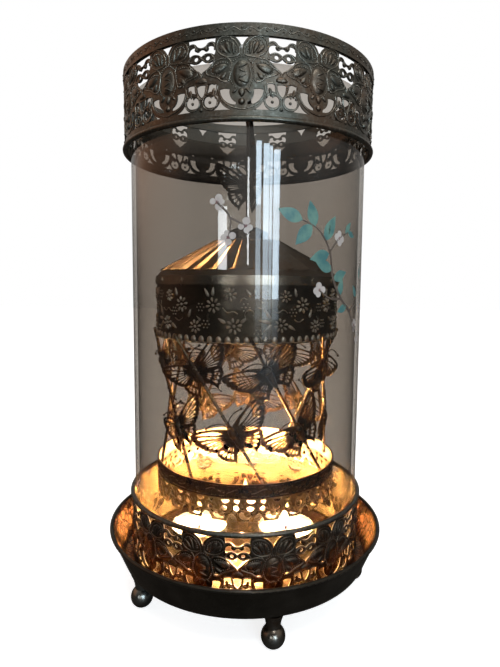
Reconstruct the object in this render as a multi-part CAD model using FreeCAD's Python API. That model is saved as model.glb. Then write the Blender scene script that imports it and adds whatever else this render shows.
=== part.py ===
"""Carousel lamp turned by the warm air of tealights.

A round tray on five ball feet carries a pierced gallery, and a glass cylinder stands inside it.
A pierced crown hangs over the top of the glass on a bridge and two lugs. A rod hangs from a bush in
that bridge and carries the rotor: a vaned roof on a drum, eight slanted stays with butterflies, and a
ring with a filigree fringe. Three tealights stand on the tray, inside the glass.

Sizes are in millimetres and angles in degrees. Angles round the lamp are counted from the front (-Y)
towards the right (+X). The origin is on the table, in the middle of the lamp, and +Z is up.
"""
import FreeCAD
import Part
import math
import os

# Feet and tray
foot_count = 5
foot_first_angle = 12.5
foot_circle = 75.5
foot_ball_radius = 7.0
foot_flat_depth = 0.4
foot_height = 21.2
foot_neck_share = 0.75
foot_neck_radius = 4.2
foot_neck_bulge = 4.8
foot_top_radius = 6.6
tray_sheet = 1.0
tray_channel = 6.4
tray_corner = 3.0
tray_rim_radius = 92.0
tray_depth = 23.6
tray_bead_radius = 1.2

# Glass
glass_radius = 75.0
glass_wall = 2.6
glass_height = 292.7
seat_gap = 0.1

# Pierced bands, alike in the gallery and in the crown
band_sheet = 0.8
band_height = 44.8
band_cells = 12
motif_width = 40.3
motif_height = 44.8
cutter_reach = 2.5
gallery_clearance = 0.8
gallery_motif_rise = 2.8
gallery_first_angle = 12.0
crown_clearance = 2.7
crown_motif_rise = 0.0
crown_first_angle = -2.5
crown_drop = 28.7
roll_radius = 1.5
roll_offset = 0.5
groove_clearance = 0.05
hem_height = 5.3
hem_sheet = 0.6

# Bridge, lugs, rivets and bearing
bridge_width = 5.0
bridge_thickness = 2.0
bridge_hub_radius = 6.0
tab_sheet = 0.8
tab_width = 6.0
tab_clearance = 0.1
lug_reach = 5.0
lug_thickness = 1.0
rivet_radius = 1.0
rivet_head_radius = 1.8
rivet_head_height = 0.9
rivet_height = 8.3
rivet_clearance = 0.03
bush_radius = 3.0
bush_flange_radius = 4.5
bush_flange = 1.0
running_clearance = 0.07
pivot_gap = 0.3
collar_radius = 2.6
collar_height = 3.0

# Hanger rod and hub
rod_radius = 1.1
rod_end = 1.0
rod_drop = 76.7
hub_sides = 8
hub_radius = 15.0
hub_skirt = 5.0
hub_top_radius = 7.5
hub_slope = 3.5
nut_radius = 3.6
nut_sides = 6
nut_height = 2.6
nut_end = 1.2

# Roof of vanes, drum and its rim strip
sheet = 0.6
roof_flat_radius = 21.3
roof_rise = 24.0
roof_shoulder_radius = 57.2
roof_shoulder_rise = 3.0
roof_lip = 1.2
vane_count = 30
vane_first_angle = -2.0
vane_tilt = 15.0
vane_fill = 0.98
vane_lap = 0.7
drum_radius = 59.8
drum_height = 38.8
rim_strip_height = 5.3
rim_stud_count = 18
rim_stud_radius = 1.5
rim_stud_height = 0.5

# Stays, ring and fringe
stay_count = 8
stay_radius = 1.0
stay_first_angle = -41.1
stay_twist = 53.3
stay_lap = 4.2
stay_clearance = 0.15
stay_foot = 3.6
ring_gap = 81.6
ring_radius = 60.3
ring_sheet = 1.2
ring_height = 8.1
fringe_sheet = 0.7
fringe_height = 14.0
fringe_repeats = 24
fringe_motif_width = 15.0
fringe_motif_height = 14.0

# Butterflies
butterfly_drops = (19.1, 56.3)
wing_sheet = 0.9
wing_rib = 0.7
wing_border = 1.2
wing_reach = 30.0
wing_fold = 9.0
bore_clearance = 0.06
antenna_radius = 0.4
antenna_ball_radius = 0.85
rod_butterfly_rise = 24.5
rod_butterfly_turn = 50.0
rod_butterfly_fold = 15.0

# Tealights
light_places = ((-32.0, -5.0), (28.5, -6.0), (0.0, 31.0))
light_radius = 19.5
light_height = 16.0
light_wall = 0.4
wax_gap = 0.05
wax_height = 12.6
wick_radius = 0.7
wick_height = 5.0
wick_base_radius = 6.0
wick_base_height = 0.4

# Heights and radii that follow from the sizes above
tray_floor = foot_height + tray_sheet
gallery_inner = glass_radius + gallery_clearance
gallery_roll_height = tray_floor + band_height
tray_floor_radius = gallery_inner + band_sheet + tray_channel
glass_bottom = tray_floor + seat_gap
glass_top = glass_bottom + glass_height
crown_inner = glass_radius + crown_clearance
crown_roll_height = glass_top - crown_drop
crown_top = crown_roll_height + band_height
bridge_bottom = glass_top + seat_gap
bridge_top = bridge_bottom + bridge_thickness
bush_top = bridge_top + bush_flange
hub_top = bush_top - rod_drop
hub_bottom = hub_top - hub_slope - hub_skirt
drum_top = hub_bottom - roof_rise
drum_bottom = drum_top - drum_height
ring_top = drum_bottom - ring_gap
ring_bottom = ring_top - ring_height
rod_bore = rod_radius + running_clearance

Vec = FreeCAD.Vector
UP = Vec(0, 0, 1)


def around(radius, angle, height=0.0):
    """A point at that angle round the lamp's axis."""
    a = math.radians(angle)
    return Vec(radius * math.sin(a), -radius * math.cos(a), height)


def turned(shape, angle):
    copy = shape.copy()
    copy.rotate(Vec(0, 0, 0), UP, angle)
    return copy


def tube(outer, inner, bottom, height):
    return Part.makeCylinder(outer, height, Vec(0, 0, bottom)).cut(
        Part.makeCylinder(inner, height, Vec(0, 0, bottom)))


def spun(points):
    """The closed outline through these (radius, height) points, turned about the lamp's axis."""
    corners = [Vec(r, 0, z) for r, z in points]
    return Part.Face(Part.makePolygon(corners + corners[:1])).revolve(Vec(0, 0, 0), UP, 360)


def outline_edges(steps, place):
    """Edges through a motif's steps: a point ends a line, and (middle, point) ends an arc."""
    edges = []
    here = place(*steps[0])
    for step in steps[1:] + [steps[0]]:
        if isinstance(step[0], tuple):
            middle, end = place(*step[0]), place(*step[1])
            edges.append(Part.Arc(here, middle, end).toShape())
        else:
            end = place(*step)
            if end.distanceToPoint(here) > 1e-6:
                edges.append(Part.LineSegment(here, end).toShape())
        here = end
    return edges


def radial_prism(steps, centre_angle, radius, bottom, depth):
    """A motif opening as a prism that passes through a thin band at that angle."""
    out = around(1, centre_angle)
    side = around(1, centre_angle + 90)
    start = out * (radius - depth)

    def place(u, v):
        return start + side * u + UP * (bottom + v)

    return Part.Face(Part.Wire(outline_edges(steps, place))).extrude(out * (2 * depth))


def mirrored(steps):
    return [((-s[0][0], s[0][1]), (-s[1][0], s[1][1])) if isinstance(s[0], tuple) else (-s[0], s[1])
            for s in steps]


def fitted(steps, wide, high):
    """The motif stretched to the real cell."""
    return [((s[0][0] * wide, s[0][1] * high), (s[1][0] * wide, s[1][1] * high))
            if isinstance(s[0], tuple) else (s[0] * wide, s[1] * high) for s in steps]


# Openings of the pierced band. Each is drawn from the middle of the butterfly or of the crest
# between two butterflies, and its height counts from the band's lower edge.
butterfly_openings = [
    [(-7.6, 40.3), ((-2.6, 38.4), (0.0, 33.2)), ((2.6, 38.4), (7.6, 40.3))],
]
butterfly_side_openings = [
    [(-10.2, 17.7), ((-8.4, 18.7), (-6.5, 18.2)), (-6.7, 17.1)],
    [(-10.7, 14.3), ((-8.2, 14.7), (-5.9, 14.3)), ((-5.6, 10.8), (-2.9, 8.2)), (-2.6, 6.9),
     ((-7.9, 8.5), (-10.7, 14.3))],
]
crest_openings = [
    [(-7.3, 40.3), (-6.9, 36.9), ((-4.4, 37.4), (-2.6, 36.0)), ((0.0, 35.0), (2.6, 36.0)),
     ((4.4, 37.4), (6.9, 36.9)), (7.3, 40.3)],
    [(-6.4, 31.2), ((-5.9, 35.2), (-3.3, 35.4)), ((-2.9, 33.4), (-1.2, 33.7)), ((0.0, 34.2), (1.2, 33.7)),
     ((2.9, 33.4), (3.3, 35.4)), ((5.9, 35.2), (6.4, 31.2)), ((3.1, 32.1), (0.0, 30.4)),
     ((-3.1, 32.1), (-6.4, 31.2))],
    [(-6.6, 29.0), ((-3.1, 27.6), (0.0, 29.3)), ((3.1, 27.6), (6.6, 29.0)), ((5.2, 25.6), (2.6, 24.2)),
     ((0.9, 23.2), (0.0, 21.2)), ((-0.9, 23.2), (-2.6, 24.2)), ((-5.2, 25.6), (-6.6, 29.0))],
    [(-2.6, 16.4), ((0.0, 17.1), (2.6, 16.4)), ((1.9, 13.2), (0.0, 10.9)), ((-1.9, 13.2), (-2.6, 16.4))],
]
crest_side_openings = [
    [(-4.2, 29.8), ((-3.1, 30.9), (-2.0, 29.8)), ((-3.1, 28.8), (-4.2, 29.8))],
    [(-7.6, 16.9), ((-5.6, 17.5), (-3.8, 16.8)), ((-3.2, 14.4), (-2.7, 12.5)), ((-4.8, 13.6), (-7.3, 12.7))],
    [(-8.0, 11.2), ((-6.2, 11.9), (-4.7, 10.4)), ((-3.2, 11.4), (-1.5, 10.3)), ((-1.5, 7.5), (-4.6, 5.9)),
     ((-7.9, 7.4), (-8.0, 11.2))],
    [(-15.6, 4.5), ((-11.8, 5.9), (-9.4, 8.8)), ((-7.9, 6.2), (-5.6, 4.5))],
]

# Openings of the fringe, drawn from the middle of one repeat, with heights from its lower tips.
fringe_openings = [
    [(-6.3, 12.7), (-2.6, 12.7), ((-3.6, 11.9), (-3.9, 10.4)), ((-5.4, 11.3), (-6.3, 12.7))],
    [(1.0, 12.7), (5.9, 12.7), ((5.0, 11.2), (3.2, 10.6)), ((1.9, 11.3), (1.0, 12.7))],
    [(-6.6, 8.9), ((-5.0, 9.3), (-3.9, 8.1)), ((-3.9, 6.8), (-5.0, 6.2)), ((-6.3, 7.1), (-6.6, 8.9))],
    [(1.2, 9.0), ((3.2, 8.9), (4.9, 8.0)), ((4.0, 6.5), (2.2, 6.4)), ((1.2, 7.4), (1.2, 9.0))],
    [(-3.4, 4.5), ((-2.6, 1.9), (0.2, 1.2)), ((2.6, 1.6), (3.4, 3.6)), ((0.6, 2.9), (-0.7, 5.2)),
     ((-2.2, 5.5), (-3.4, 4.5))],
]
fringe_notch = [(-3.2, -1.0), ((-2.6, 2.3), (-0.9, 4.4)), ((0.0, 4.9), (0.9, 4.4)), ((2.6, 2.3), (3.2, -1.0))]


def pierced_band(inner, bottom, motif_rise, first_angle):
    """A thin band of butterflies: one cell is cut out, and its copies make the ring."""
    middle = inner + band_sheet / 2
    cell_angle = 360.0 / band_cells
    cell_width = 2 * math.pi * middle / band_cells
    wide, high = cell_width / motif_width, band_height / motif_height
    cell = tube(inner + band_sheet, inner, bottom, band_height).common(wedge(cell_angle, bottom, inner))

    def opening(steps, at_crest):
        return radial_prism(fitted(steps, wide, high), at_crest * cell_angle / 2, middle,
                            bottom + motif_rise, cutter_reach)

    cutters = [opening(s, 0) for s in butterfly_openings]
    cutters += [opening(s, 0) for side in butterfly_side_openings for s in (side, mirrored(side))]
    for end in (-1, 1):
        cutters += [opening(s, end) for s in crest_openings]
        cutters += [opening(s, end) for side in crest_side_openings for s in (side, mirrored(side))]
    return ring_of(cell.cut(cutters), band_cells, first_angle)


def wedge(angle, bottom, inner):
    """The slice of space that holds one cell, centred on the front."""
    reach = 2 * inner
    corners = [Vec(0, 0, bottom - 1)] + [around(reach, side * angle / 2, bottom - 1) for side in (-1, 1)]
    return Part.Face(Part.makePolygon(corners + corners[:1])).extrude(UP * (2 * inner))


def ring_of(cell, count, first_angle):
    copies = [turned(cell, first_angle + k * 360.0 / count) for k in range(count)]
    return copies[0].multiFuse(copies[1:])


def roll(band_inner, height, band_above):
    """The wired edge of a band: a round ring with a groove that takes the band's edge to its middle."""
    ring = Part.makeTorus(band_inner + band_sheet / 2 + roll_offset, roll_radius, Vec(0, 0, height))
    depth = 2 * roll_radius
    groove_bottom = height - groove_clearance if band_above else height + groove_clearance - depth
    groove = tube(band_inner + band_sheet + groove_clearance, band_inner - groove_clearance,
                  groove_bottom, depth)
    return ring.cut(groove)


def make_tray():
    wall_foot = tray_floor_radius - tray_corner
    rim = tray_rim_radius - tray_bead_radius
    rim_height = foot_height + tray_depth - tray_bead_radius
    half = tray_sheet / 2
    mid_floor = foot_height + half
    wall_height = mid_floor + tray_corner
    bend = math.sqrt(0.5) * tray_corner

    def skin(offset):
        """The middle line of the dish, moved outwards and down by an offset."""
        return [(wall_foot, mid_floor - offset),
                (wall_foot + bend + offset / 2, mid_floor + tray_corner - bend - offset / 2),
                (tray_floor_radius + offset, wall_height), (rim + offset, rim_height)]

    dish = spun([(0, foot_height)] + skin(half) + skin(-half)[::-1] + [(0, tray_floor)])
    return dish.fuse(Part.makeTorus(rim, tray_bead_radius, Vec(0, 0, rim_height)))


def make_feet():
    feet = []
    ball_height = foot_ball_radius - foot_flat_depth
    neck_height = ball_height + foot_neck_share * foot_ball_radius
    neck_end, top_end = Vec(foot_neck_radius, 0, neck_height), Vec(foot_top_radius, 0, foot_height)
    flare = Part.Arc(neck_end, Vec(foot_neck_bulge, 0, (neck_height + foot_height) / 2), top_end).toShape()
    closing = Part.makePolygon([top_end, Vec(0, 0, foot_height), Vec(0, 0, neck_height), neck_end])
    neck = Part.Face(Part.Wire([flare] + closing.Edges)).revolve(Vec(0, 0, 0), UP, 360)
    below = Part.makeCylinder(foot_ball_radius, foot_ball_radius, Vec(0, 0, -foot_ball_radius))
    foot = Part.makeSphere(foot_ball_radius, Vec(0, 0, ball_height)).fuse(neck).cut(below)
    for k in range(foot_count):
        placed = foot.copy()
        placed.translate(around(foot_circle, foot_first_angle + k * 360.0 / foot_count))
        feet.append(placed)
    return Part.makeCompound(feet)


def make_glass():
    return tube(glass_radius, glass_radius - glass_wall, glass_bottom, glass_height)


def rivet_angles():
    return [crown_first_angle + k * 90.0 for k in range(4)]


def radial_pin(radius, angle, height, start, length):
    return Part.makeCylinder(radius, length, around(start, angle, height), around(1, angle))


def with_rivet_holes(shape):
    height = crown_roll_height + rivet_height
    holes = [radial_pin(rivet_radius + rivet_clearance, a, height, glass_radius, 4 * crown_clearance)
             for a in rivet_angles()]
    return shape.cut(holes)


def make_crown_band():
    return with_rivet_holes(pierced_band(crown_inner, crown_roll_height, crown_motif_rise, crown_first_angle))


def make_crown_hem():
    """A strip folded over the crown's upper edge."""
    outer = crown_inner + band_sheet + groove_clearance
    inner = crown_inner - groove_clearance
    bottom, lid = crown_top - hem_height, crown_top + groove_clearance
    return spun([(inner - hem_sheet, bottom), (inner, bottom), (inner, lid), (outer, lid), (outer, bottom),
                 (outer + hem_sheet, bottom), (outer + hem_sheet, lid + hem_sheet),
                 (inner - hem_sheet, lid + hem_sheet)])


def down_tab(angle):
    """The tab that hangs between glass and crown at the end of the bridge or of a lug."""
    face = crown_inner - tab_clearance
    low = crown_roll_height + rivet_height - tab_width / 2
    tab = Part.makeBox(tab_width, tab_sheet, bridge_bottom + lug_thickness - low,
                       Vec(-tab_width / 2, -face, low))
    return turned(tab, angle)


def make_bridge():
    end = crown_inner - tab_clearance
    bar = Part.makeBox(bridge_width, 2 * end, bridge_thickness, Vec(-bridge_width / 2, -end, bridge_bottom))
    hub = Part.makeCylinder(bridge_hub_radius, bridge_thickness, Vec(0, 0, bridge_bottom))
    bore = Part.makeCylinder(bush_radius + groove_clearance, bridge_thickness, Vec(0, 0, bridge_bottom))
    tabs = [down_tab(crown_first_angle), down_tab(crown_first_angle + 180)]
    bridge = turned(bar, crown_first_angle).multiFuse([hub] + tabs).cut(bore)
    return with_rivet_holes(bridge)


def make_lugs():
    lugs = []
    end = crown_inner - tab_clearance
    for angle in (crown_first_angle + 90, crown_first_angle - 90):
        leg = Part.makeBox(tab_width, lug_reach, lug_thickness, Vec(-tab_width / 2, -end, bridge_bottom))
        lugs.append(with_rivet_holes(turned(leg, angle).fuse(down_tab(angle))))
    return Part.makeCompound(lugs)


def make_rivets():
    rivets = []
    height = crown_roll_height + rivet_height
    start = crown_inner - tab_clearance - tab_sheet
    outside = crown_inner + band_sheet + rivet_clearance
    for angle in rivet_angles():
        shank = radial_pin(rivet_radius, angle, height, start, outside - start)
        head = Part.makeCone(rivet_head_radius, rivet_radius, rivet_head_height,
                             around(outside, angle, height), around(1, angle))
        rivets.append(shank.fuse(head))
    return Part.makeCompound(rivets)


def make_bush():
    body = Part.makeCylinder(bush_radius, bridge_thickness, Vec(0, 0, bridge_bottom))
    flange = Part.makeCylinder(bush_flange_radius, bush_flange, Vec(0, 0, bridge_top))
    bore = Part.makeCylinder(rod_bore, bush_top - bridge_bottom, Vec(0, 0, bridge_bottom))
    return body.fuse(flange).cut(bore)


def make_rod():
    top = bush_top + pivot_gap + collar_height + rod_end
    bottom = hub_bottom - sheet - nut_height - nut_end
    return Part.makeCylinder(rod_radius, top - bottom, Vec(0, 0, bottom))


def make_collar():
    """The collar that hangs the rod on the bush, narrowed below so that it turns with little rubbing."""
    bottom = bush_top + pivot_gap
    seat = (rod_bore + collar_radius) / 2
    inner, top = rod_radius + groove_clearance, bottom + collar_height
    return spun([(inner, bottom), (seat, bottom), (collar_radius, bottom + collar_height / 3),
                 (collar_radius, top), (inner, top)])


def many_sided(radius, sides, height):
    corners = [around(radius, (k + 0.5) * 360.0 / sides, height) for k in range(sides)]
    return Part.makePolygon(corners + corners[:1])


def make_hub_cap():
    skirt = Part.Face(many_sided(hub_radius, hub_sides, hub_bottom)).extrude(UP * hub_skirt)
    low = many_sided(hub_radius, hub_sides, hub_bottom + hub_skirt)
    high = many_sided(hub_top_radius, hub_sides, hub_top)
    slope = Part.makeLoft([low, high], True, True)
    bore = Part.makeCylinder(rod_bore, hub_top - hub_bottom, Vec(0, 0, hub_bottom))
    return skirt.fuse(slope).cut(bore)


def make_hub_nut():
    bottom = hub_bottom - sheet - nut_height
    bore = Part.makeCylinder(rod_radius + groove_clearance, nut_height, Vec(0, 0, bottom))
    return Part.Face(many_sided(nut_radius, nut_sides, bottom)).extrude(UP * nut_height).cut(bore)


def make_roof():
    """A ring of tilted vanes between an eaves ring and a flat middle."""
    shoulder = (roof_shoulder_radius, drum_top + roof_shoulder_rise)
    crest = (roof_flat_radius, hub_bottom)
    run, rise = shoulder[0] - crest[0], crest[1] - shoulder[1]
    length = math.hypot(run, rise)
    slope = rise / run
    drop = sheet * length / run

    def cone_height(radius):
        return shoulder[1] + (shoulder[0] - radius) * slope

    lip = roof_shoulder_radius - roof_lip
    eaves_run = drum_radius - roof_shoulder_radius
    eaves_foot = sheet * math.hypot(eaves_run, roof_shoulder_rise) / roof_shoulder_rise
    eaves = spun([(drum_radius, drum_top), shoulder, (lip, cone_height(lip)), (lip, cone_height(lip) - drop),
                  (shoulder[0] - sheet, shoulder[1] - sheet), (drum_radius - eaves_foot, drum_top)])
    edge = roof_flat_radius + roof_lip
    middle = spun([(rod_bore, hub_bottom), crest, (edge, cone_height(edge)), (edge, cone_height(edge) - drop),
                   (roof_flat_radius, hub_bottom - sheet), (rod_bore, hub_bottom - sheet)])
    out = Vec(run / length, 0, -rise / length)
    normal = Vec(rise / length, 0, run / length)
    across = Vec(0, 1, 0)
    tilt = math.radians(vane_tilt)
    side = across * math.cos(tilt) + normal * math.sin(tilt)
    face_normal = normal * math.cos(tilt) - across * math.sin(tilt)
    inner, outer = edge - vane_lap, lip + vane_lap
    half = math.pi * vane_fill / vane_count

    def centre_line(radius):
        return Vec(crest[0], 0, crest[1]) + out * ((radius - crest[0]) * length / run) - normal * (sheet / 2)

    corners = [centre_line(inner) - side * (inner * half), centre_line(outer) - side * (outer * half),
               centre_line(outer) + side * (outer * half), centre_line(inner) + side * (inner * half)]
    vane = Part.Face(Part.makePolygon(corners + corners[:1])).extrude(face_normal * (-sheet / 2))
    vanes = [turned(vane, vane_first_angle - 90 + k * 360.0 / vane_count) for k in range(vane_count)]
    return eaves.multiFuse([middle] + vanes)


def make_drum():
    return tube(drum_radius, drum_radius - sheet, drum_bottom, drum_height)


def make_drum_rim():
    """The strip round the drum's upper edge, with flat studs."""
    inner = drum_radius + groove_clearance
    strip = tube(inner + sheet, inner, drum_top - rim_strip_height, rim_strip_height)
    height = drum_top - rim_strip_height / 2
    studs = [radial_pin(rim_stud_radius, k * 360.0 / rim_stud_count, height, inner + sheet / 2,
                        sheet / 2 + rim_stud_height) for k in range(rim_stud_count)]
    return strip.multiFuse(studs)


def stay_line(k):
    """Upper and lower end of a stay's axis: outside the drum's edge, and inside the ring."""
    angle = stay_first_angle + k * 360.0 / stay_count
    at_drum = around(drum_radius + stay_radius + stay_clearance, angle, drum_bottom)
    foot = around(ring_radius - ring_sheet - stay_radius - stay_clearance, angle + stay_twist,
                  ring_bottom + stay_foot)
    along = at_drum - foot
    return foot + along * (1 + stay_lap / along.z), foot


def make_stays():
    stays = []
    for k in range(stay_count):
        top, foot = stay_line(k)
        stays.append(Part.makeCylinder(stay_radius, (top - foot).Length, foot, top - foot))
    return Part.makeCompound(stays)


def make_ring():
    inner, bead = ring_radius - ring_sheet, ring_sheet / 3
    return spun([(inner, ring_bottom), (ring_radius, ring_bottom), (ring_radius, ring_bottom + 2 * bead),
                 (ring_radius - bead, ring_bottom + 3 * bead), (ring_radius - bead, ring_top - 3 * bead),
                 (ring_radius, ring_top - 2 * bead), (ring_radius, ring_top), (inner, ring_top)])


def make_fringe():
    """Filigree scrolls under the ring."""
    inner = ring_radius - ring_sheet
    middle = inner + fringe_sheet / 2
    bottom = ring_bottom - fringe_height
    repeat_angle = 360.0 / fringe_repeats
    wide = 2 * math.pi * middle / fringe_repeats / fringe_motif_width
    high = fringe_height / fringe_motif_height
    cell = tube(inner + fringe_sheet, inner, bottom, fringe_height).common(wedge(repeat_angle, bottom, inner))
    cutters = [radial_prism(fitted(s, wide, high), 0, middle, bottom, cutter_reach) for s in fringe_openings]
    cutters += [radial_prism(fitted(fringe_notch, wide, high), end * repeat_angle / 2, middle, bottom,
                             cutter_reach) for end in (-1, 1)]
    return ring_of(cell.cut(cutters), fringe_repeats, 0)


# One pair of wings, drawn on the right. The body runs along the height, with the head up, and each
# wing's ribs spread from its root.
upper_wing = [(1.6, 6.2), ((9.5, 10.3), (19.0, 13.7)), ((23.2, 15.2), (24.9, 13.4)),
              ((24.9, 11.0), (23.2, 9.0)), ((22.7, 6.6), (20.6, 5.0)), ((19.9, 2.6), (17.7, 1.3)),
              ((16.8, -0.9), (14.4, -2.0)), (1.6, -0.4)]
upper_wing_root = (1.6, 2.2)
upper_wing_ribs = (22.5, 17.5, 13.0, 8.4, 2.6, -3.2, -9.5)
upper_wing_hub = 5.2
lower_wing = [(1.6, 0.6), ((8.0, 0.3), (13.4, -1.6)), ((15.7, -3.8), (14.6, -6.2)),
              ((13.8, -8.5), (11.6, -9.0)), ((10.7, -11.1), (8.7, -11.2)), (7.4, -13.1), (6.0, -10.8),
              ((4.0, -8.2), (1.6, -6.4))]
lower_wing_root = (1.6, -1.0)
lower_wing_ribs = (-19.0, -33.0, -46.0, -58.0)
lower_wing_hub = 3.6
body_outline = [(1.7, 8.6), (2.3, 7.3), (1.9, 5.7), (2.7, 3.2), (2.2, 0.6), (2.4, -3.0), (1.5, -8.6)]
antenna_path = ((1.0, 8.0), (5.3, 12.5), (12.3, 13.7))


def wing(outline, root, ribs, hub):
    """A thin plate with a plain border, ribs and a solid part at its root."""
    face = Part.Face(Part.Wire(outline_edges(outline, lambda x, z: Vec(x, 0, z))))
    inside = face.makeOffset2D(-wing_border)
    centre = Vec(root[0], 0, root[1])
    solid_part = Part.Face(Part.Wire(Part.Circle(centre, Vec(0, 1, 0), hub).toShape()))
    bars = [solid_part]
    for angle in ribs:
        a = math.radians(angle)
        along, side = Vec(math.cos(a), 0, math.sin(a)), Vec(-math.sin(a), 0, math.cos(a)) * (wing_rib / 2)
        far = centre + along * wing_reach
        bars.append(Part.Face(Part.makePolygon([centre + side, far + side, far - side, centre - side,
                                                centre + side])))
    openings = [f.extrude(Vec(0, wing_sheet, 0)) for f in inside.cut(bars).Faces]
    plate = face.extrude(Vec(0, wing_sheet, 0)).cut(openings)
    plate.translate(Vec(0, -wing_sheet / 2, 0))
    return plate


def make_butterfly(bore, fold):
    """A butterfly threaded on a wire along +Z, facing -Y, with its wings folded back by some degrees."""
    corners = [Vec(bore, 0, body_outline[0][1])] + [Vec(r, 0, z) for r, z in body_outline]
    corners.append(Vec(bore, 0, body_outline[-1][1]))
    body = Part.Face(Part.makePolygon(corners + corners[:1])).revolve(Vec(0, 0, 0), UP, 360)
    right = wing(upper_wing, upper_wing_root, upper_wing_ribs, upper_wing_hub)
    right = right.fuse(wing(lower_wing, lower_wing_root, lower_wing_ribs, lower_wing_hub))
    start, middle, end = [Vec(x, 0, z) for x, z in antenna_path]
    path = Part.Arc(start, middle, end)
    ring = Part.Circle(start, path.tangent(path.FirstParameter)[0], antenna_radius)
    feeler = Part.Wire(path.toShape()).makePipeShell([Part.Wire(ring.toShape())], True, False)
    feeler = feeler.fuse(Part.makeSphere(antenna_ball_radius, end))
    feeler.translate(Vec(0, -bore - antenna_radius, 0))
    left = right.mirror(Vec(0, 0, 0), Vec(1, 0, 0))
    right.rotate(Vec(0, 0, 0), UP, fold)
    left.rotate(Vec(0, 0, 0), UP, -fold)
    return body.multiFuse([right, left, feeler, feeler.mirror(Vec(0, 0, 0), Vec(1, 0, 0))])


def on_stay(butterfly, k, drop):
    """Places a butterfly on a stay, facing outwards, that far below the drum."""
    top, foot = stay_line(k)
    up = (top - foot).normalize()
    share = (top.z - drum_bottom + drop) / (top.z - foot.z)
    centre = top + (foot - top) * share
    out = Vec(centre.x, centre.y, 0)
    out = (out - up * out.dot(up)).normalize()
    right = up.cross(out) * -1
    matrix = FreeCAD.Matrix(right.x, -out.x, up.x, centre.x, right.y, -out.y, up.y, centre.y,
                            right.z, -out.z, up.z, centre.z, 0, 0, 0, 1)
    placed = butterfly.copy()
    placed.Placement = FreeCAD.Placement(matrix).multiply(placed.Placement)
    return placed


def make_tealight(x, y):
    """Cup, wax, wick and wick base of one tealight."""
    bottom = tray_floor + seat_gap
    place = Vec(x, y, bottom)
    inside = light_radius - light_wall
    cup = Part.makeCylinder(light_radius, light_height, place).cut(
        Part.makeCylinder(inside, light_height, place + UP * light_wall))
    wax_bottom = place + UP * light_wall
    wax = Part.makeCylinder(inside - wax_gap, wax_height, wax_bottom)
    wax = wax.cut(Part.makeCylinder(wick_base_radius + wax_gap, wick_base_height + wax_gap, wax_bottom))
    wax = wax.cut(Part.makeCylinder(wick_radius + wax_gap, wax_height, wax_bottom))
    base = Part.makeCylinder(wick_base_radius, wick_base_height, wax_bottom)
    wick_bottom = wax_bottom + UP * wick_base_height
    wick = Part.makeCylinder(wick_radius, wax_height - wick_base_height + wick_height, wick_bottom)
    return {"cup": cup, "wax": wax, "wick": wick, "wick_base": base}


def make_parts():
    parts = {
        "tray": make_tray(),
        "ball_feet": make_feet(),
        "gallery_band": pierced_band(gallery_inner, tray_floor, gallery_motif_rise, gallery_first_angle),
        "gallery_roll": roll(gallery_inner, gallery_roll_height, band_above=False),
        "glass_cylinder": make_glass(),
        "crown_band": make_crown_band(),
        "crown_hem": make_crown_hem(),
        "crown_roll": roll(crown_inner, crown_roll_height, band_above=True),
        "crown_bridge": make_bridge(),
        "crown_lugs": make_lugs(),
        "crown_rivets": make_rivets(),
        "bearing_bush": make_bush(),
        "hanger_rod": make_rod(),
        "pivot_collar": make_collar(),
        "hub_cap": make_hub_cap(),
        "hub_nut": make_hub_nut(),
        "vane_roof": make_roof(),
        "drum_shell": make_drum(),
        "drum_rim": make_drum_rim(),
        "stay_wires": make_stays(),
        "rotor_ring": make_ring(),
        "ring_fringe": make_fringe(),
    }
    butterfly = make_butterfly(stay_radius + bore_clearance, wing_fold)
    number = 0
    for drop in butterfly_drops:
        for k in range(stay_count):
            number += 1
            parts["butterfly_%02d" % number] = on_stay(butterfly, k, drop)
    on_rod = make_butterfly(rod_radius + bore_clearance, rod_butterfly_fold)
    on_rod.translate(UP * (hub_top + rod_butterfly_rise))
    parts["rod_butterfly"] = turned(on_rod, rod_butterfly_turn)
    for number, (x, y) in enumerate(light_places, 1):
        for name, shape in make_tealight(x, y).items():
            parts["tealight_%s_%d" % (name, number)] = shape
    return parts


def main():
    os.makedirs("parts", exist_ok=True)
    for name, shape in make_parts().items():
        shape.exportStep("parts/%s.step" % name)
        print(name, "solids", len(shape.Solids), "valid", shape.isValid(), "volume", round(shape.Volume, 1))


main()
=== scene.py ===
"""Looks of a tealight carousel lamp: its metal finishes, embossing, butterflies, glass, print and flames."""
import bpy
import math
import random
from mathutils import Matrix, Vector


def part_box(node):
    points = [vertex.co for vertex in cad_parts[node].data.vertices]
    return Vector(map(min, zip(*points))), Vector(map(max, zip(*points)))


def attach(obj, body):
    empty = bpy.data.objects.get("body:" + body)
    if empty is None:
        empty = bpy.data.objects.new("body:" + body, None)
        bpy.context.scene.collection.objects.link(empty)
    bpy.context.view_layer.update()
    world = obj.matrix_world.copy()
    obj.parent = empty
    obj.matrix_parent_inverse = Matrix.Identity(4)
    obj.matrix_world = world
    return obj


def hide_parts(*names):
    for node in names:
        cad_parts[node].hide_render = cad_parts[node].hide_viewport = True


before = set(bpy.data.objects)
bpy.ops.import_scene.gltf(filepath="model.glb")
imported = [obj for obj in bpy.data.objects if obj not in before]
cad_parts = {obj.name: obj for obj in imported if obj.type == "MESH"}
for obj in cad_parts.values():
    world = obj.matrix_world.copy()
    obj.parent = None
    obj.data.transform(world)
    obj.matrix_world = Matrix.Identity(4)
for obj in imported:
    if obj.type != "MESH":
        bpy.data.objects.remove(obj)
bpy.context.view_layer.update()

MM = 0.001
TEALIGHTS = (1, 2, 3)


# Node graphs

def maths(operation, reflected=False):
    """An operator that puts a maths node between two values."""
    def method(self, value):
        first, second = (value, self) if reflected else (self, value)
        return self.graph.node("ShaderNodeMath", {"operation": operation}, {0: first, 1: second})
    return method


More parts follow.
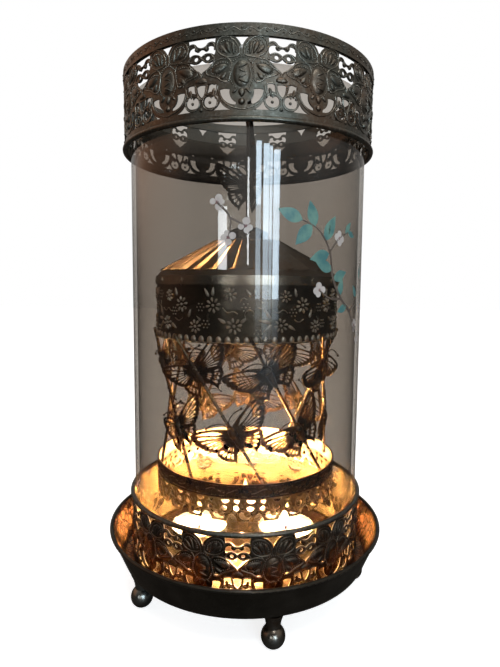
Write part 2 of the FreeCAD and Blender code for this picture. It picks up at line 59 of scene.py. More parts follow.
class Signal:
    """A socket of a node graph that can be used in arithmetic."""

    __add__ = maths("ADD")
    __radd__ = maths("ADD", reflected=True)
    __sub__ = maths("SUBTRACT")
    __rsub__ = maths("SUBTRACT", reflected=True)
    __mul__ = maths("MULTIPLY")
    __rmul__ = maths("MULTIPLY", reflected=True)
    __truediv__ = maths("DIVIDE")
    __rtruediv__ = maths("DIVIDE", reflected=True)
    __pow__ = maths("POWER")
    __lt__ = maths("LESS_THAN")
    __gt__ = maths("GREATER_THAN")

    def __init__(self, graph, socket):
        self.graph = graph
        self.socket = socket

    def other(self, name):
        """Another output of the same node."""
        return Signal(self.graph, self.socket.node.outputs[name])


class Graph:
    """A node tree that is written as expressions."""

    def __init__(self, tree):
        self.tree = tree
        tree.nodes.clear()

    def node(self, kind, settings=None, sockets=None, output=0):
        made = self.tree.nodes.new(kind)
        for name, value in (settings or {}).items():
            if name == "stops":
                ramp = made.color_ramp
                while len(ramp.elements) < len(value):
                    ramp.elements.new(1.0)
                for element, (position, colour) in zip(ramp.elements, value):
                    element.position = position
                    element.color = (*colour, 1.0)
            else:
                setattr(made, name, value)
        for name, value in (sockets or {}).items():
            if isinstance(value, Signal):
                self.tree.links.new(value.socket, made.inputs[name])
            else:
                made.inputs[name].default_value = value
        return Signal(self, made.outputs[output]) if len(made.outputs) else None

    def between(self, signal, low, high, least=0.0, most=1.0, curve="LINEAR"):
        """The signal's stretch from low to high, spread from least to most and held there."""
        return self.node("ShaderNodeMapRange", {"clamp": True, "interpolation_type": curve},
                         {0: signal, 1: low, 2: high, 3: least, 4: most})

    def mixed(self, share, first, second):
        colours = [c if isinstance(c, Signal) else (*c, 1.0) for c in (first, second)]
        return self.node("ShaderNodeMix", {"data_type": "RGBA"}, {0: share, 6: colours[0], 7: colours[1]},
                         output=2)


# Finishes

class Finish(Graph):
    """A material with a few shorthands for what the lamp's finishes share."""

    def __init__(self, name):
        self.material = bpy.data.materials.new(name)
        self.material.use_nodes = True
        super().__init__(self.material.node_tree)
        self.place = self.node("ShaderNodeTexCoord", output="Object")

    def moved(self, centre, size=(1, 1, 1)):
        return self.node("ShaderNodeMapping", {"vector_type": "TEXTURE"},
                         {"Vector": self.place, "Location": centre, "Scale": size})

    def noise(self, per_metre, detail=3.0, rough=0.5, at=None):
        return self.node("ShaderNodeTexNoise", sockets={
            "Vector": at or self.place, "Scale": per_metre, "Detail": detail, "Roughness": rough})

    def veins(self, per_metre, waver):
        """Distance from a net of wavering lines."""
        drift = self.noise(per_metre * 0.6, 2.0).other("Color")
        at = self.node("ShaderNodeVectorMath", {"operation": "MULTIPLY_ADD"},
                       {0: drift, 1: (waver, waver, waver), 2: self.place})
        return self.node("ShaderNodeTexVoronoi", {"feature": "DISTANCE_TO_EDGE"},
                         {"Vector": at, "Scale": per_metre})

    def bumped(self, height, depth, strength=1.0):
        return self.node("ShaderNodeBump", sockets={
            "Height": height, "Distance": depth, "Strength": strength})

    def radius(self):
        """Distance from the lamp's axis."""
        x = self.node("ShaderNodeSeparateXYZ", sockets={"Vector": self.place})
        y = x.other("Y")
        return (x * x + y * y) ** 0.5

    def height(self):
        return self.node("ShaderNodeSeparateXYZ", sockets={"Vector": self.place}, output="Z")

    def surface(self, shader):
        self.node("ShaderNodeOutputMaterial", sockets={"Surface": shader})
        return self.material

    def principled(self, **sockets):
        named = {name.replace("_", " "): value for name, value in sockets.items()}
        for name in ("Base Color", "Emission Color"):
            if name in named and not isinstance(named[name], Signal):
                named[name] = (*named[name], 1.0)
        return self.node("ShaderNodeBsdfPrincipled", sockets=named)

    def finished(self, **sockets):
        """The material, with one principled shader."""
        return self.surface(self.principled(**sockets))


METALLIC = 0.95
INSIDE_DULLER = 0.5
INSIDE_ROUGHER = 0.2


def aged_metal(name, plain, worn_and_lit, warm, rough=(0.28, 0.5), tops=None, pits=0.00008, grain=620.0, rubs=0.35,
               painted_inside_light=None):
    """Dark antiqued metal with cloudy warm patches and small rubs. Raised work between the two radii of tops
    is
    painted bright: wear and a painted highlight. The painted inside light is a radius in the sheet and the
    lighter colour painted on the duller face inside it."""
    f = Finish(name)
    cloud = f.between(f.noise(38.0, 4.0, 0.6), 0.44, 0.68)
    speck = f.noise(grain, 4.0, 0.65)
    base = f.mixed(cloud, plain, warm)
    rubbed_and_lit = f.between(speck, 0.5, 0.75) * rubs
    # Between the radii of tops the relief is mixed to the lighter colour: a painted highlight on raised
    # tops, with painted shade left at their feet, as well as wear
    if tops:
        rubbed_and_lit = rubbed_and_lit + f.between(f.radius(), tops[0] * MM, tops[1] * MM)
    base = f.mixed(f.between(rubbed_and_lit, 0.0, 1.0), base, worn_and_lit)
    roughness = f.between(f.noise(170.0, 3.0), 0.3, 0.7, *rough)
    metal = METALLIC
    # Painted light: inside the given radius the face takes a lighter colour, standing for light that falls
    # on the inner face
    if painted_inside_light:
        inside = f.radius() < painted_inside_light[0] * MM
        base = f.mixed(inside, base, painted_inside_light[1])
        roughness = roughness + inside * INSIDE_ROUGHER
        metal = METALLIC - inside * INSIDE_DULLER
    return f.finished(Base_Color=base, Metallic=metal, Roughness=roughness,
                      Normal=f.bumped(speck + f.noise(2100.0, 2.0) * 0.5, pits, 0.8))


# The tray's sizes, in millimetres, where candlelight and shade are painted on the copper, and its colours
TRAY_BEAD = 1.2
BEAD_SHOWN = 0.4
TRAY_FOOT_RADIUS = 83.0
TRAY_FOOT_RISE = 3.5
TRAY_SHEET_MIDDLE = 0.5
CANDLELIGHT_POOL = (48.0 * MM, 62.0 * MM)
SHADE_FROM = (54.0 * MM, 62.0 * MM)
SHADE_TO = (77.0 * MM, 79.0 * MM)
COPPER = (0.17, 0.078, 0.035), (0.44, 0.235, 0.105)
COPPER_VEIN = (0.07, 0.035, 0.02)
PAINTED_CANDLELIGHT = (0.92, 0.80, 0.56)
PAINTED_SHADE_COPPER = (0.045, 0.022, 0.012)
TRAY_OUTSIDE = (0.030, 0.024, 0.017), (0.055, 0.045, 0.034)


def tray_finish():
    """Dark outside. Copper with a leafy mottle inside, a painted pool of candlelight in the middle and
    painted shade under the glass.
    """
    f = Finish("tray_bronze")
    low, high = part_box("tray")
    radius, height = f.radius(), f.height()
    rim_line, foot_line = high.x - TRAY_BEAD * MM, TRAY_FOOT_RADIUS * MM
    foot_height, rim_height = low.z + TRAY_FOOT_RISE * MM, high.z - TRAY_BEAD * MM
    lean = (rim_line - foot_line) / (rim_height - foot_height)
    wall = (height - foot_height) * lean + foot_line
    above_sheet = height > low.z + TRAY_SHEET_MIDDLE * MM
    inside = (radius < wall) * above_sheet * (height < rim_height - BEAD_SHOWN * MM)
    mottle = f.noise(70.0, 5.0, 0.62)
    leafy = f.between(f.veins(210.0, 0.009), 0.02, 0.16)
    # Painted light: a pale pool of candlelight painted on the floor round the tealights
    middle = f.between(radius, *CANDLELIGHT_POOL, 0.85, 0.0)
    # Painted shade: the floor is painted darker in a ring under the glass and the gallery
    painted_shade = f.between(radius, *SHADE_FROM) * f.between(radius, *SHADE_TO, 1.0, 0.0)
    copper = f.mixed(leafy, COPPER_VEIN, f.mixed(f.between(mottle, 0.36, 0.64), *COPPER))
    copper = f.mixed(painted_shade * 0.92, f.mixed(middle, copper, PAINTED_CANDLELIGHT), PAINTED_SHADE_COPPER)
    outside = f.mixed(f.between(f.noise(60.0, 4.0), 0.4, 0.7), *TRAY_OUTSIDE)
    rough = f.between(mottle, 0.3, 0.7, 0.3, 0.5) + middle * 0.2 + painted_shade * 0.25
    relief = mottle * inside + leafy * inside * 0.5 + f.noise(900.0, 3.0) * 0.12
    return f.finished(Base_Color=f.mixed(inside, outside, copper), Metallic=0.85 - inside * 0.4,
                      Roughness=rough, Normal=f.bumped(relief, 0.0007, 0.7))


GLASS_ROUGHNESS = 0.015
FACING_POWER = 5.0


def glass_finish(name, tint, shine):
    """Clear glass with a faint smoke tint: each face dims what shows through it and mirrors a little."""
    f = Finish(name)
    facing = f.node("ShaderNodeLayerWeight", sockets={"Blend": 0.5}, output="Facing")
    mirror_share = (facing ** FACING_POWER) * (1.0 - shine) + shine
    through = f.node("ShaderNodeBsdfTransparent", sockets={"Color": (*tint, 1.0)})
    mirror = f.node("ShaderNodeBsdfGlossy", sockets={"Color": (1, 1, 1, 1), "Roughness": GLASS_ROUGHNESS})
    return f.surface(f.node("ShaderNodeMixShader", sockets={0: mirror_share, 1: through, 2: mirror}))


FLAME_STOPS = [(0.0, (0.25, 0.30, 0.9)), (0.14, (1.0, 0.5, 0.16)), (0.4, (1.0, 0.86, 0.5)),
               (0.75, (1.0, 0.70, 0.28)), (1.0, (1.0, 0.42, 0.08))]
FLAME_GLOW = 22.0
WAX_GLOW = 2.6
WAX_GLOW_FROM, WAX_GLOW_TO = 3.0 * MM, 21.0 * MM


def wax_finish(name, centre):
    """Pale wax that glows round its flame."""
    f = Finish(name)
    away = f.node("ShaderNodeVectorMath", {"operation": "LENGTH"}, {0: f.moved(centre)}, output="Value")
    near = f.between(away, WAX_GLOW_FROM, WAX_GLOW_TO, 1.0, 0.0)
    glow = f.mixed(near, (1.0, 0.36, 0.07), (1.0, 0.80, 0.42))
    grain = f.noise(420.0, 3.0)
    base = f.mixed(f.between(grain, 0.4, 0.6), (0.90, 0.84, 0.70), (0.95, 0.91, 0.80))
    return f.finished(Base_Color=base, Roughness=f.between(near, 0.0, 1.0, 0.45, 0.12),
                      Emission_Color=glow, Emission_Strength=WAX_GLOW, Normal=f.bumped(grain, 0.0001))


def flame_finish(name, bottom, top):
    """Blue foot, pale body and orange tip."""
    f = Finish(name)
    rise = f.between(f.height(), bottom, top)
    colour = f.node("ShaderNodeValToRGB", {"stops": FLAME_STOPS}, {0: rise})
    return f.finished(Base_Color=(0.0, 0.0, 0.0), Roughness=0.9, Emission_Color=colour,
                      Emission_Strength=FLAME_GLOW)


def plain_metal(name, colour, rough, brushed):
    """Bright metal with fine drawn lines."""
    f = Finish(name)
    lines = f.noise(260.0, 3.0, 0.6, f.moved((0, 0, 0), brushed))
    base = f.mixed(f.between(lines, 0.35, 0.65), [c * 0.82 for c in colour], colour)
    return f.finished(Base_Color=base, Metallic=1.0, Normal=f.bumped(lines, 0.00005),
                      Roughness=f.between(lines, 0.3, 0.7, rough * 0.8, rough * 1.25))


def char_finish():
    f = Finish("charred_wick")
    fibre = f.noise(1500.0, 4.0)
    base = f.mixed(f.between(fibre, 0.4, 0.6), (0.015, 0.012, 0.010), (0.06, 0.05, 0.04))
    return f.finished(Base_Color=base, Roughness=0.95, Normal=f.bumped(fibre, 0.0002))


def print_finish(name, first, second):
    """Thin printed colour with a hand-laid wash."""
    f = Finish(name)
    wash = f.noise(140.0, 4.0, 0.6)
    return f.finished(Base_Color=f.mixed(f.between(wash, 0.38, 0.62), first, second),
                      Roughness=f.between(wash, 0.3, 0.7, 0.35, 0.6))


crown_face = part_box("crown_band")[1].x / MM
gallery_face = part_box("gallery_band")[1].x / MM
drum_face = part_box("drum_shell")[1].x / MM
ring_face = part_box("rotor_ring")[1].x / MM

# Colours of each metal: plain, the lighter colour of wear (on raised tops also a painted highlight) and warm
BRONZE = (0.080, 0.079, 0.065), (0.33, 0.325, 0.285), (0.11, 0.075, 0.052)
DARK_BRONZE = (0.050, 0.040, 0.030), (0.20, 0.165, 0.125), (0.085, 0.050, 0.030)
PEWTER = (0.25, 0.24, 0.21), (0.95, 0.93, 0.88), (0.22, 0.165, 0.12)
RIM_PEWTER = (0.84, 0.82, 0.76), (0.92, 0.91, 0.87), (0.56, 0.47, 0.36)
ROOF = (0.25, 0.225, 0.195), (0.34, 0.30, 0.25), (0.22, 0.15, 0.10)
RING = (0.08, 0.057, 0.038), (0.36, 0.28, 0.19), (0.12, 0.068, 0.04)
# RING_WIRES and FRINGE_WIRES are lighter than the ring and the fringe: wear and a painted highlight on the
# raised wires
RING_WIRES = (0.30, 0.225, 0.145), (0.75, 0.60, 0.40), (0.32, 0.19, 0.10)
FRINGE = (0.40, 0.30, 0.18), (0.85, 0.70, 0.47), (0.38, 0.24, 0.125)
FRINGE_WIRES = (0.62, 0.49, 0.32), (0.95, 0.82, 0.60), (0.58, 0.38, 0.20)
BLACK = (0.105, 0.09, 0.075), (0.34, 0.30, 0.25), (0.14, 0.085, 0.055)
STAYS_METAL = (0.26, 0.22, 0.17), (0.50, 0.45, 0.37), (0.30, 0.18, 0.11)

# Painted light on the inner faces: a radius in the sheet, and the lighter colour painted on the face inside
# it, for candlelight on the gallery and the ring and for the lighter inside of the crown
CROWN_PAINTED_LIGHT = (crown_face - 0.4, (0.20, 0.195, 0.175))
GALLERY_PAINTED_CANDLELIGHT = (gallery_face - 0.4, (0.94, 0.82, 0.58))
RING_PAINTED_CANDLELIGHT = (ring_face - 0.6, (0.74, 0.58, 0.36))

PRESSED = {"rough": (0.3, 0.46), "pits": 0.0003, "grain": 330.0}
DRAWN = (1, 1, 0.05)

bronze = aged_metal("antique_bronze", *BRONZE)
foot_bronze = aged_metal("foot_bronze", (0.17, 0.17, 0.155), *BRONZE[1:], rough=(0.16, 0.28))
crown_bronze = aged_metal("crown_relief_bronze", *BRONZE, **PRESSED)
# The wire finishes of the crown, the gallery, the ring and the fringe are lighter than their sheets: wear
# and a painted highlight along the raised wires
crown_wires = aged_metal("crown_wire_bronze", (0.17, 0.165, 0.14), *BRONZE[1:], rough=(0.22, 0.36))
crown_sheet = aged_metal("crown_bronze", *BRONZE, painted_inside_light=CROWN_PAINTED_LIGHT)
gallery_sheet = aged_metal("gallery_bronze", *DARK_BRONZE, painted_inside_light=GALLERY_PAINTED_CANDLELIGHT)
gallery_bronze = aged_metal("gallery_relief_bronze", *DARK_BRONZE, **PRESSED)
gallery_wires = aged_metal("gallery_wire_bronze", (0.085, 0.07, 0.052), *DARK_BRONZE[1:], rough=(0.26, 0.4))
pewter = aged_metal("rotor_pewter", *PEWTER, rough=(0.18, 0.28), rubs=0.08)
# The drum's relief is lighter than the drum's sheet and brightest on its tops: wear and a painted highlight
drum_pewter = aged_metal("drum_relief_pewter", (0.62, 0.60, 0.54), *PEWTER[1:], rough=(0.26, 0.36),
                         tops=(drum_face + 0.05, drum_face + 0.6))
bright_pewter = aged_metal("rim_pewter", *RIM_PEWTER, rough=(0.16, 0.27))
roof_metal = aged_metal("roof_metal", *ROOF, rough=(0.3, 0.46))
ring_metal = aged_metal("ring_metal", *RING, rough=(0.24, 0.42), painted_inside_light=RING_PAINTED_CANDLELIGHT)
ring_wires = aged_metal("ring_wire_bronze", *RING_WIRES, rough=(0.2, 0.34))
fringe_metal = aged_metal("fringe_gold", *FRINGE, rough=(0.26, 0.42))
fringe_wires = aged_metal("fringe_wire_gold", *FRINGE_WIRES, rough=(0.2, 0.34))
black = aged_metal("blackened_metal", *BLACK, rough=(0.22, 0.4))
stay_metal = aged_metal("stay_metal", *STAYS_METAL, rough=(0.18, 0.34))
tray_metal = tray_finish()
brass = plain_metal("bearing_brass", (0.72, 0.50, 0.22), 0.28, DRAWN)
steel = plain_metal("pivot_steel", (0.55, 0.55, 0.56), 0.3, DRAWN)
aluminium = plain_metal("cup_aluminium", (0.86, 0.86, 0.87), 0.25, (1, 1, 0.08))
wick = char_finish()
glass = glass_finish("smoked_glass", (0.67, 0.645, 0.615), 0.038)

cad_finishes = {
    bronze: ["gallery_roll", "crown_roll", "crown_bridge", "crown_lugs", "crown_rivets"],
    crown_sheet: ["crown_band", "crown_hem"],
    foot_bronze: ["ball_feet"],
    gallery_sheet: ["gallery_band"],
    tray_metal: ["tray"],
    glass: ["glass_cylinder"],
    brass: ["bearing_bush"],
    steel: ["pivot_collar", "hub_nut"],
    black: ["hanger_rod", "hub_cap"],
    roof_metal: ["vane_roof"],
    pewter: ["drum_shell"],
    bright_pewter: ["drum_rim"],
    stay_metal: ["stay_wires"],
    ring_metal: ["rotor_ring"],
    fringe_metal: ["ring_fringe"],
    aluminium: ["tealight_%s_%d" % (part, k) for part in ("cup", "wick_base") for k in TEALIGHTS],
    wick: ["tealight_wick_%d" % k for k in TEALIGHTS],
}


def paint(mesh, material):
    mesh.materials.clear()
    mesh.materials.append(material)


for material, names in cad_finishes.items():
    for name in names:
        paint(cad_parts[name].data, material)


# Shapes

def link(name, data):
    made = bpy.data.objects.new(name, data)
    bpy.context.scene.collection.objects.link(made)
    return made


def turns(count):
    """Cosine and sine of even steps round a circle."""
    angles = [2 * math.pi * k / count for k in range(count)]
    return [(math.cos(a), math.sin(a)) for a in angles]


# A dome's rings, as shares of its size and of its height
DOME_RINGS = ((1.0, -0.15), (0.86, 0.45), (0.6, 0.8), (0.3, 0.96))
AXIS_HOLE = 0.01


class Shell:
    """Points and faces of a mesh under construction, in millimetres."""

    def __init__(self):
        self.points = []
        self.faces = []

    def add(self, points, faces):
        start = len(self.points)
        self.points += points
        self.faces += [[start + i for i in face] for face in faces]

    def rings(self, rings, closed_ends=(False, False)):
        """Skins a row of rings, each a list of points that goes round the same way."""
        count = len(rings[0])
        points = [p for ring in rings for p in ring]
        faces = []
        for r in range(len(rings) - 1):
            for i in range(count):
                j = (i + 1) % count
                faces.append([r * count + i, r * count + j, (r + 1) * count + j, (r + 1) * count + i])
        if closed_ends[0]:
            faces.append(list(range(count))[::-1])
        if closed_ends[1]:
            faces.append([(len(rings) - 1) * count + i for i in range(count)])
        self.add(points, faces)

    def dome(self, u, v, length, width, angle, height, narrow=0.0, around=12):
        """A raised drop shape on the flat sheet. Its far end is the narrow one."""
        cosine, sine = math.cos(math.radians(angle)), math.sin(math.radians(angle))
        rings = []
        for share, lift in DOME_RINGS:
            ring = []
            for c, s in turns(around):
                along = share * length / 2 * c
                across = share * width / 2 * s * (1 - narrow * c)
                ring.append((u + along * cosine - across * sine, -height * lift,
                             v + along * sine + across * cosine))
            rings.append(ring)
        self.rings(rings, (False, True))

    def domes(self, rows, height, narrow=0.0, around=12):
        """Domes of one height, from rows of u, v, length, width and angle."""
        for row in rows:
            self.dome(*row, height, narrow, around)

    def lathe(self, outline, around=32, axis=(0, 0)):
        """Turns an outline of (radius, height) points; an end on the axis is closed by a small fan."""
        rings = []
        for r, z in outline:
            r = max(r, AXIS_HOLE)
            rings.append([(axis[0] + r * s, axis[1] - r * c, z) for c, s in turns(around)])
        self.rings(rings, (outline[0][0] == 0, outline[-1][0] == 0))

    def mesh(self, name, material=None, smooth=True):
        made = bpy.data.meshes.new(name)
        made.from_pydata([Vector(p) * MM for p in self.points], [], self.faces)
        for polygon in made.polygons:
            polygon.use_smooth = smooth
        if material:
            made.materials.append(material)
        made.update()
        return made


def curve_object(name, lines=(), loops=(), depth=0.0):
    """A curve object of soft lines in an upright plane: u to the right, v up."""
    data = bpy.data.curves.new(name, "CURVE")
    data.dimensions = "3D"
    data.resolution_u = 4
    for points, closed in [(p, False) for p in lines] + [(p, True) for p in loops]:
        spline = data.splines.new("BEZIER")
        spline.bezier_points.add(len(points) - 1)
        for knot, (u, v) in zip(spline.bezier_points, points):
            knot.co = (u * MM, -depth * MM, v * MM)
            knot.handle_left_type = "AUTO"
            knot.handle_right_type = "AUTO"
        spline.use_cyclic_u = closed
    return link(name, data)


def baked(source):
    """The plain mesh of an object as it is evaluated now. The object goes."""
    mesh = bpy.data.meshes.new_from_object(source.evaluated_get(bpy.context.evaluated_depsgraph_get()))
    bpy.data.objects.remove(source)
    return mesh


def both_sides(points, centre=0.0):
    """The points, and their mirror image about an upright line."""
    return [points, [(2 * centre - u, v) for u, v in points]]


def oval(u, v, half_u, half_v, count=8):
    return [(u + half_u * c, v + half_v * s) for c, s in turns(count)]


def polar(root, reach, angle):
    a = math.radians(angle)
    return root[0] + reach * math.cos(a), root[1] + reach * math.sin(a)


# Geometry trees: flat relief is made of wires, beads or solid forms, bent round the axis and repeated

def new_tree(name, inputs):
    """An empty tree's graph and its start, with inputs given as {name: kind of socket}."""
    tree = bpy.data.node_groups.new(name, "GeometryNodeTree")
    tree.interface.new_socket("Geometry", in_out="OUTPUT", socket_type="NodeSocketGeometry")
    tree.interface.new_socket("Geometry", in_out="INPUT", socket_type="NodeSocketGeometry")
    for socket, kind in inputs.items():
        tree.interface.new_socket(socket, in_out="INPUT", socket_type=kind)
    graph = Graph(tree)
    return graph, graph.node("NodeGroupInput")


RING_INPUTS = {"Radius": "NodeSocketFloat", "Copies": "NodeSocketInt", "First Angle": "NodeSocketFloat",
               "Base Height": "NodeSocketFloat", "Finish": "NodeSocketMaterial"}


def round_the_axis(graph, start, geometry):
    """How each tree ends: flat geometry is bent to the radius, repeated evenly round the lamp's axis,
    and given its finish."""
    u = graph.node("ShaderNodeSeparateXYZ", sockets={"Vector": graph.node("GeometryNodeInputPosition")})
    angle = u / start.other("Radius")
    out = start.other("Radius") - u.other("Y")
    sine = graph.node("ShaderNodeMath", {"operation": "SINE"}, {0: angle})
    cosine = graph.node("ShaderNodeMath", {"operation": "COSINE"}, {0: angle})
    bent_to = graph.node("ShaderNodeCombineXYZ", sockets={
        "X": out * sine, "Y": out * cosine * -1.0, "Z": u.other("Z") + start.other("Base Height")})
    bent = graph.node("GeometryNodeSetPosition", sockets={"Geometry": geometry, "Position": bent_to})
    spots = graph.node("GeometryNodePoints", sockets={"Count": start.other("Copies")})
    step = 2 * math.pi / start.other("Copies")
    turn = graph.node("GeometryNodeInputIndex") * step + start.other("First Angle")
    facing = graph.node("FunctionNodeEulerToRotation", sockets={
        0: graph.node("ShaderNodeCombineXYZ", sockets={"Z": turn})})
    copies = graph.node("GeometryNodeInstanceOnPoints", sockets={
        "Points": spots, "Instance": bent, "Rotation": facing})
    real = graph.node("GeometryNodeRealizeInstances", sockets={"Geometry": copies})
    smooth = graph.node("GeometryNodeSetShadeSmooth", sockets={0: real})
    done = graph.node("GeometryNodeSetMaterial", sockets={
        "Geometry": smooth, "Material": start.other("Finish")})
    graph.node("NodeGroupOutput", sockets={0: done})
    return graph.tree


def wire_tree():
    graph, start = new_tree("bent wires", {
        "Wire Radius": "NodeSocketFloat", "Sides": "NodeSocketInt", **RING_INPUTS})
    section = graph.node("GeometryNodeCurvePrimitiveCircle", sockets={
        "Resolution": start.other("Sides"), "Radius": start.other("Wire Radius")})
    wires = graph.node("GeometryNodeCurveToMesh", sockets={
        "Curve": start.other("Geometry"), "Profile Curve": section, "Fill Caps": True})
    return round_the_axis(graph, start, wires)


def bead_tree():
    graph, start = new_tree("bead rows", {
        "Bead Radius": "NodeSocketFloat", "Spacing": "NodeSocketFloat", **RING_INPUTS})
    row = graph.node("GeometryNodeResampleCurve", {"mode": "LENGTH"}, {
        "Curve": start.other("Geometry"), "Length": start.other("Spacing")})
    bead = graph.node("GeometryNodeMeshIcoSphere", sockets={
        "Radius": start.other("Bead Radius"), "Subdivisions": 2})
    beads = graph.node("GeometryNodeInstanceOnPoints", sockets={"Points": row, "Instance": bead})
    real = graph.node("GeometryNodeRealizeInstances", sockets={"Geometry": beads})
    return round_the_axis(graph, start, real)


def form_tree():
    graph, start = new_tree("bent forms", RING_INPUTS)
    return round_the_axis(graph, start, start.other("Geometry"))


WIRES = wire_tree()
BEADS = bead_tree()
FORMS = form_tree()


def grown(source, tree, **inputs):
    """Runs a tree on an object with these inputs and returns the plain mesh."""
    modifier = source.modifiers.new("grow", "NODES")
    modifier.node_group = tree
    identifiers = {item.name: item.identifier for item in tree.interface.items_tree
                   if item.item_type == "SOCKET" and item.in_out == "INPUT"}
    for name, value in inputs.items():
        modifier[identifiers[name.replace("_", " ")]] = value
    return baked(source)


def merged(name, meshes):
    """One mesh out of several, with their finishes kept."""
    parts = [link("part", mesh) for mesh in meshes]
    with bpy.context.temp_override(active_object=parts[0], selected_editable_objects=parts):
        bpy.ops.object.join()
    parts[0].name = name
    return parts[0]


def piece(made, body, slot, *replaced):
    """Puts a finished piece on its body."""
    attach(made, body)
    if replaced:
        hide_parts(*replaced)


# Where reliefs ride: the body and the record's slot
ON_CROWN = "crown", "antique_bronze"
ON_GALLERY = "base", "antique_bronze"
ON_ROTOR = "rotor", "rotor_metal"


def relief(name, place, radius, copies, first_angle, bottom, finish, forms, wires, beads=(), wire=0.42,
           bead=0.42, spacing=1.15, sides=6, wire_finish=None):
    """A ring of raised relief. Wires and beads are pairs of lists: open lines and closed loops."""
    ring = {"Radius": radius * MM, "Copies": copies, "First_Angle": math.radians(first_angle),
            "Base_Height": bottom * MM, "Finish": finish}
    meshes = [grown(link("flat forms", forms.mesh("flat forms")), FORMS, **ring)]
    ring["Finish"] = wire_finish or finish
    meshes.append(grown(curve_object("flat wires", *wires), WIRES, Wire_Radius=wire * MM, Sides=sides,
                        **ring))
    if beads:
        meshes.append(grown(curve_object("flat beads", *beads), BEADS, Bead_Radius=bead * MM,
                            Spacing=spacing * MM, **ring))
    piece(merged(name, meshes), *place)


# The embossed butterflies of the two bands, in millimetres from a butterfly's middle and the band's edge

BAND_CELLS = 12
CREST = 20.15

upper_edge = [(1.3, 31.2), (1.9, 34.6), (4.6, 38.0), (8.0, 39.3), (11.3, 38.4), (12.6, 35.6), (12.0, 32.4),
              (9.6, 30.4), (5.4, 29.6)]
upper_inner = [(2.9, 32.2), (3.5, 34.6), (5.6, 36.6), (8.2, 37.5), (10.4, 36.6), (11.0, 34.6), (10.2, 32.6)]
lower_edge = [(5.8, 27.9), (9.4, 28.9), (13.2, 27.8), (16.4, 25.2), (18.2, 22.6), (15.4, 20.9), (12.4, 19.9),
              (9.8, 18.2), (7.2, 17.7), (6.2, 19.6)]
lower_inner = [(7.2, 26.6), (10.0, 27.2), (13.0, 26.2), (15.6, 23.8), (15.0, 22.2), (12.2, 21.4),
               (9.6, 20.0), (7.8, 19.4)]
swag = [(11.9, 15.8), (11.3, 11.9), (8.9, 8.3), (5.4, 5.9), (2.0, 4.9)]
whisker = [(0.9, 30.2), (1.3, 33.0), (0.4, 35.2)]
crest_wires = [
    [(-7.2, 33.4), (-6.7, 36.2), (-4.6, 36.9), (-3.0, 35.5), (-2.5, 34.4)],
    [(-2.7, 35.3), (-1.3, 34.7), (0.0, 34.5)],
    [(-7.2, 29.0), (-6.2, 30.4), (-4.9, 31.4), (-3.1, 31.7), (-1.3, 31.0), (0.0, 30.0)],
    [(-7.2, 29.0), (-5.2, 28.3), (-3.1, 27.9), (-1.3, 28.8), (0.0, 30.0)],
    [(-6.9, 27.9), (-5.2, 25.2), (-2.6, 23.7), (-0.9, 22.6), (0.0, 20.8)],
    [(-3.2, 17.2), (-2.9, 14.0), (-1.5, 11.4), (0.0, 9.9)],
    [(-7.6, 17.0), (-5.2, 17.5), (-3.2, 16.9), (-2.3, 13.2), (-1.6, 11.4)],
    [(-8.9, 16.4), (-8.2, 13.6), (-7.4, 11.8)],
]

wing_forms = (
    (4.3, 33.6, 6.6, 2.0, 84, 0.7), (6.9, 34.0, 6.8, 2.5, 66, 0.9), (9.3, 33.2, 6.2, 2.3, 44, 0.8),
    (11.3, 24.3, 9.0, 4.6, -20, 1.0), (9.2, 20.7, 4.6, 2.5, -48, 0.8), (7.6, 29.2, 3.6, 1.3, 20, 0.6),
    (3.3, 13.6, 4.2, 1.7, -42, 0.7), (14.4, 13.0, 4.6, 1.8, 100, 0.7))
crest_dots = ((2.6, 34.3, 1.9), (4.7, 8.4, 1.6), (7.8, 10.6, 1.3))
body_ribs = ((25.0, 24), (22.6, -18), (20.2, 22), (17.8, -20))


def butterfly_relief(swell):
    """Raised forms, wires and bead rows of one cell; swell is how full the forms are."""
    forms = Shell()
    forms.dome(0, 21.6, 13.4, 9.2, 90, 1.1, around=20)
    for v, turn in body_ribs:
        forms.dome(0.4, v, 6.0, 1.5, turn, 1.5, 0.3)
    forms.dome(0, 12.6, 4.6, 3.6, -90, 1.2, 0.4)
    forms.dome(0, 8.3, 3.4, 3.4, 0, 1.3, around=14)
    forms.dome(CREST, 19.2, 3.4, 6.4, 90, 0.9, 0.3)
    forms.dome(CREST, 5.0, 2.2, 2.2, 0, 0.9)
    for side in (1, -1):
        for u, v, length, width, turn, height in wing_forms:
            forms.dome(side * u, v, length, width, turn if side == 1 else 180 - turn, height, -0.35)
        for u, v, size in crest_dots:
            forms.dome(CREST + side * u, v, size, size, 0, 0.7)
    forms.points = [(u, out * swell, v) for u, out, v in forms.points]
    right, left = both_sides(swag)
    lines = [right + [(0, 4.6)] + left[::-1]] + both_sides(whisker)
    for line in crest_wires:
        lines += both_sides([(CREST + u, v) for u, v in line], CREST)
    loops = both_sides(upper_edge) + both_sides(lower_edge)
    loops += [oval(CREST + side * 4.75, 8.5, 3.95, 3.75) for side in (1, -1)]
    bead_lines = both_sides(upper_inner) + both_sides(lower_inner)
    bead_loops = [oval(0, 21.6, 5.9, 8.0, 12)]
    return forms, (lines, loops), (bead_lines, bead_loops)


def band_relief(name, place, face, bottom, first_angle, finish, wire_finish, swell):
    """Relief on the outer face of a pierced band."""
    forms, wires, beads = butterfly_relief(swell)
    relief(name, place, face, BAND_CELLS, first_angle, bottom, finish, forms, wires, beads,
           wire_finish=wire_finish)


